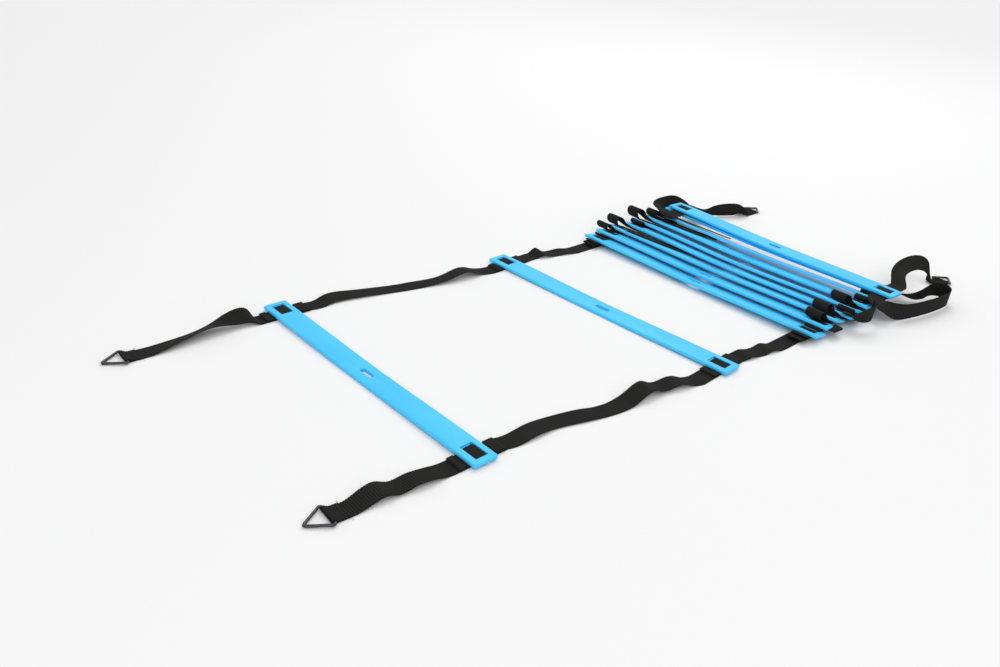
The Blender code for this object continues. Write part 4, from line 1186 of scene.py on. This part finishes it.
# Straps on the ground
for hand, side in HAND_NAMES.items():
    for number, body, place, front_line, back_line in (
        (1, "near_rung", FIRST_PLACE, NEAR_TAIL_LINE, FIRST_RUNG_LINE),
        (2, "second_rung", SECOND_PLACE, SECOND_RUNG_FRONT_LINE, SECOND_RUNG_BACK_LINE),
    ):
        start = strap_place(place, hand, front_line)
        end = strap_place(place, hand, back_line)
        points = (start + BUTT_INSET, start.lerp(end, 0.5), end - BUTT_INSET)
        stations = [(point + UPWARD * HALF_WEB, ACROSS) for point in points]
        node = "rung_strap_%02d_%s" % (number, side)
        webbing(node + "_webbing", stations, body, BLACK, node)
    stack_start = SideView(gathered[0], hand).window.x + START_SHIFTS[hand]
    stack_end = Vector((stack_start, STACK_LINE, 0))
    bays = (
        (1, strap_place(FIRST_PLACE, hand, FIRST_RUNG_LINE),
         strap_place(SECOND_PLACE, hand, SECOND_RUNG_FRONT_LINE), BAY_ONE_SHARES[hand], BAY_ONE_STEPS),
        (2, strap_place(SECOND_PLACE, hand, SECOND_RUNG_BACK_LINE), stack_end, BAY_TWO_SHARES[hand],
         BAY_TWO_STEPS),
    )
    for number, start, end, shares, steps in bays:
        stations = run_stations(start + BUTT_INSET, end - BUTT_INSET, shares, steps)
        crease = (start.y + end.y) / 2
        for part, wanted in (("near", -1), ("far", 1)):
            node = "bay_%d_%s_%s" % (number, part, side)
            half = half_run(stations, wanted, crease)
            webbing(node + "_webbing", half, "bay_%d_%s" % (number, part), BLACK, node)

# Folded straps of the stack
for hand, side in HAND_NAMES.items():
    node = "stack_strap_" + side
    webbing(node + "_webbing", stack_strap_stations(hand, gathered), "stack", BLACK, node)

# Slack webbing past the gathered rungs' right ends, and black bands between the rungs that also paint the
# shade there
for name, rung, leans, shares in SLACK_AND_SHADE_SHARES:
    place = stack_places[rung]
    if not leans:
        place = Matrix.Translation(place.translation)
    lying = share_stations(shares, Vector((0, 0, 0)), SLACK_AND_SHADE_STEPS)
    stations = [(place @ point, place.to_3x3() @ across) for point, across in lying]
    webbing(name, stations, "stack", BLACK)

# Tails, wire triangles and hem seams
for hand, side in HAND_NAMES.items():
    near_start = strap_place(FIRST_PLACE, hand, NEAR_TAIL_LINE) - BUTT_INSET
    near_wire = Vector((*NEAR_WIRES[hand], 0))
    near_run = run_stations(near_start, near_wire, NEAR_TAIL_SHARES[hand], TAIL_STEPS)[:-1]
    far_start = far_anchor(SideView(gathered[-1], hand))
    far_wire = Vector((*FAR_WIRES[hand], 0))
    far_run = share_stations(FAR_TAIL_SHARES[hand], far_start, TAIL_STEPS)
    ends = (
        ("near", near_run, near_wire, NEAR_TURNS[hand], 1),
        ("far", far_run, far_wire, FAR_TURNS[hand], -1),
    )
    for end, run, wire, turn, facing in ends:
        tail = "%s_tail_%s" % (end, side)
        ring = "%s_ring_%s" % (end, side)
        webbing(tail + "_webbing", run + loop_stations(wire, turn, facing), tail, BLACK, tail)
        wire_turn = turn if facing > 0 else turn + math.pi
        wire_triangle(ring + "_wire", wire, wire_turn, ring, COATED)
    for end, run, wire, turn, facing in ends:
        tail = "%s_tail_%s" % (end, side)
        across, along = end_directions(turn, facing)
        for number, seam in enumerate(HEM_SEAM_PLACES, 1):
            middle = wire + along * seam + UPWARD * (2 * WEBBING_THICKNESS + SEAT_GAP)
            stitch_row("%s_hem_%s_seam_%d" % (end, side, number), middle, across, UPWARD, tail, THREAD)

# Loose ends of thread at the near hems
for hand, side in HAND_NAMES.items():
    across, along = end_directions(NEAR_TURNS[hand], 1)
    for number, edge in enumerate((LEFT, RIGHT), 1):
        points = []
        for out, ahead, height in THREAD_POINTS:
            sideways = across * (edge * (THREAD_ROOT_ACROSS + out))
            onward = along * (THREAD_ROOT_ALONG + ahead)
            points.append(Vector((*NEAR_WIRES[hand], height)) + onward + sideways)
        loose_thread("near_hem_%s_thread_%d" % (side, number), points, "near_tail_" + side, THREAD)

# Floor that glows a little far out
bpy.ops.mesh.primitive_plane_add(size=FLOOR_SIZE, location=(0, 0, -FLOOR_DROP))
floor = bpy.context.object
floor.name = "floor"
ground = Finish("floor_paper")
spread = ground.add("ShaderNodeVectorMath", {"operation": "LENGTH"}, {0: ground.solid()}, 1)
glow = ground.mix(spread.over(GLOW_START, GLOW_FULL), NO_GLOW, FAR_GLOW)
ground.put(Base_Color=FLOOR_TONE, Roughness=0.9, Specular_IOR_Level=0.1)
ground.put(Emission_Color=glow, Emission_Strength=1.0)
floor.data.materials.append(ground.material)

# Light all around and two lamps
world = bpy.data.worlds.new("studio")
bpy.context.scene.world = world
world.use_nodes = True
surroundings = world.node_tree.nodes["Background"]
surroundings.inputs["Color"].default_value = WORLD_TONE
surroundings.inputs["Strength"].default_value = WORLD_STRENGTH
for name, place, size, power in LAMPS:
    lamp = bpy.data.lights.new(name, "AREA")
    lamp.shape = "SQUARE"
    lamp.size = size
    lamp.energy = power
    holder = placed(name, lamp)
    holder.location = place
    holder.rotation_euler = (-place).to_track_quat("-Z", "Y").to_euler()

# Camera where the photograph was taken
level_right = CAMERA_FORWARD.cross(UPWARD).normalized()
level_up = level_right.cross(CAMERA_FORWARD)
right = level_right * math.cos(CAMERA_ROLL) + level_up * math.sin(CAMERA_ROLL)
top = level_up * math.cos(CAMERA_ROLL) - level_right * math.sin(CAMERA_ROLL)
lens = bpy.data.cameras.new("photo_camera")
lens.sensor_width = CAMERA_SENSOR
lens.lens = CAMERA_LENS
lens.clip_start = 0.01
lens.clip_end = 100.0
camera = placed("photo_camera", lens)
turned = Matrix((right, top, -CAMERA_FORWARD)).transposed().to_4x4()
camera.matrix_world = Matrix.Translation(CAMERA_PLACE) @ turned
bpy.context.scene.camera = camera
bpy.context.scene.view_settings.view_transform = "Standard"

deselect_all()
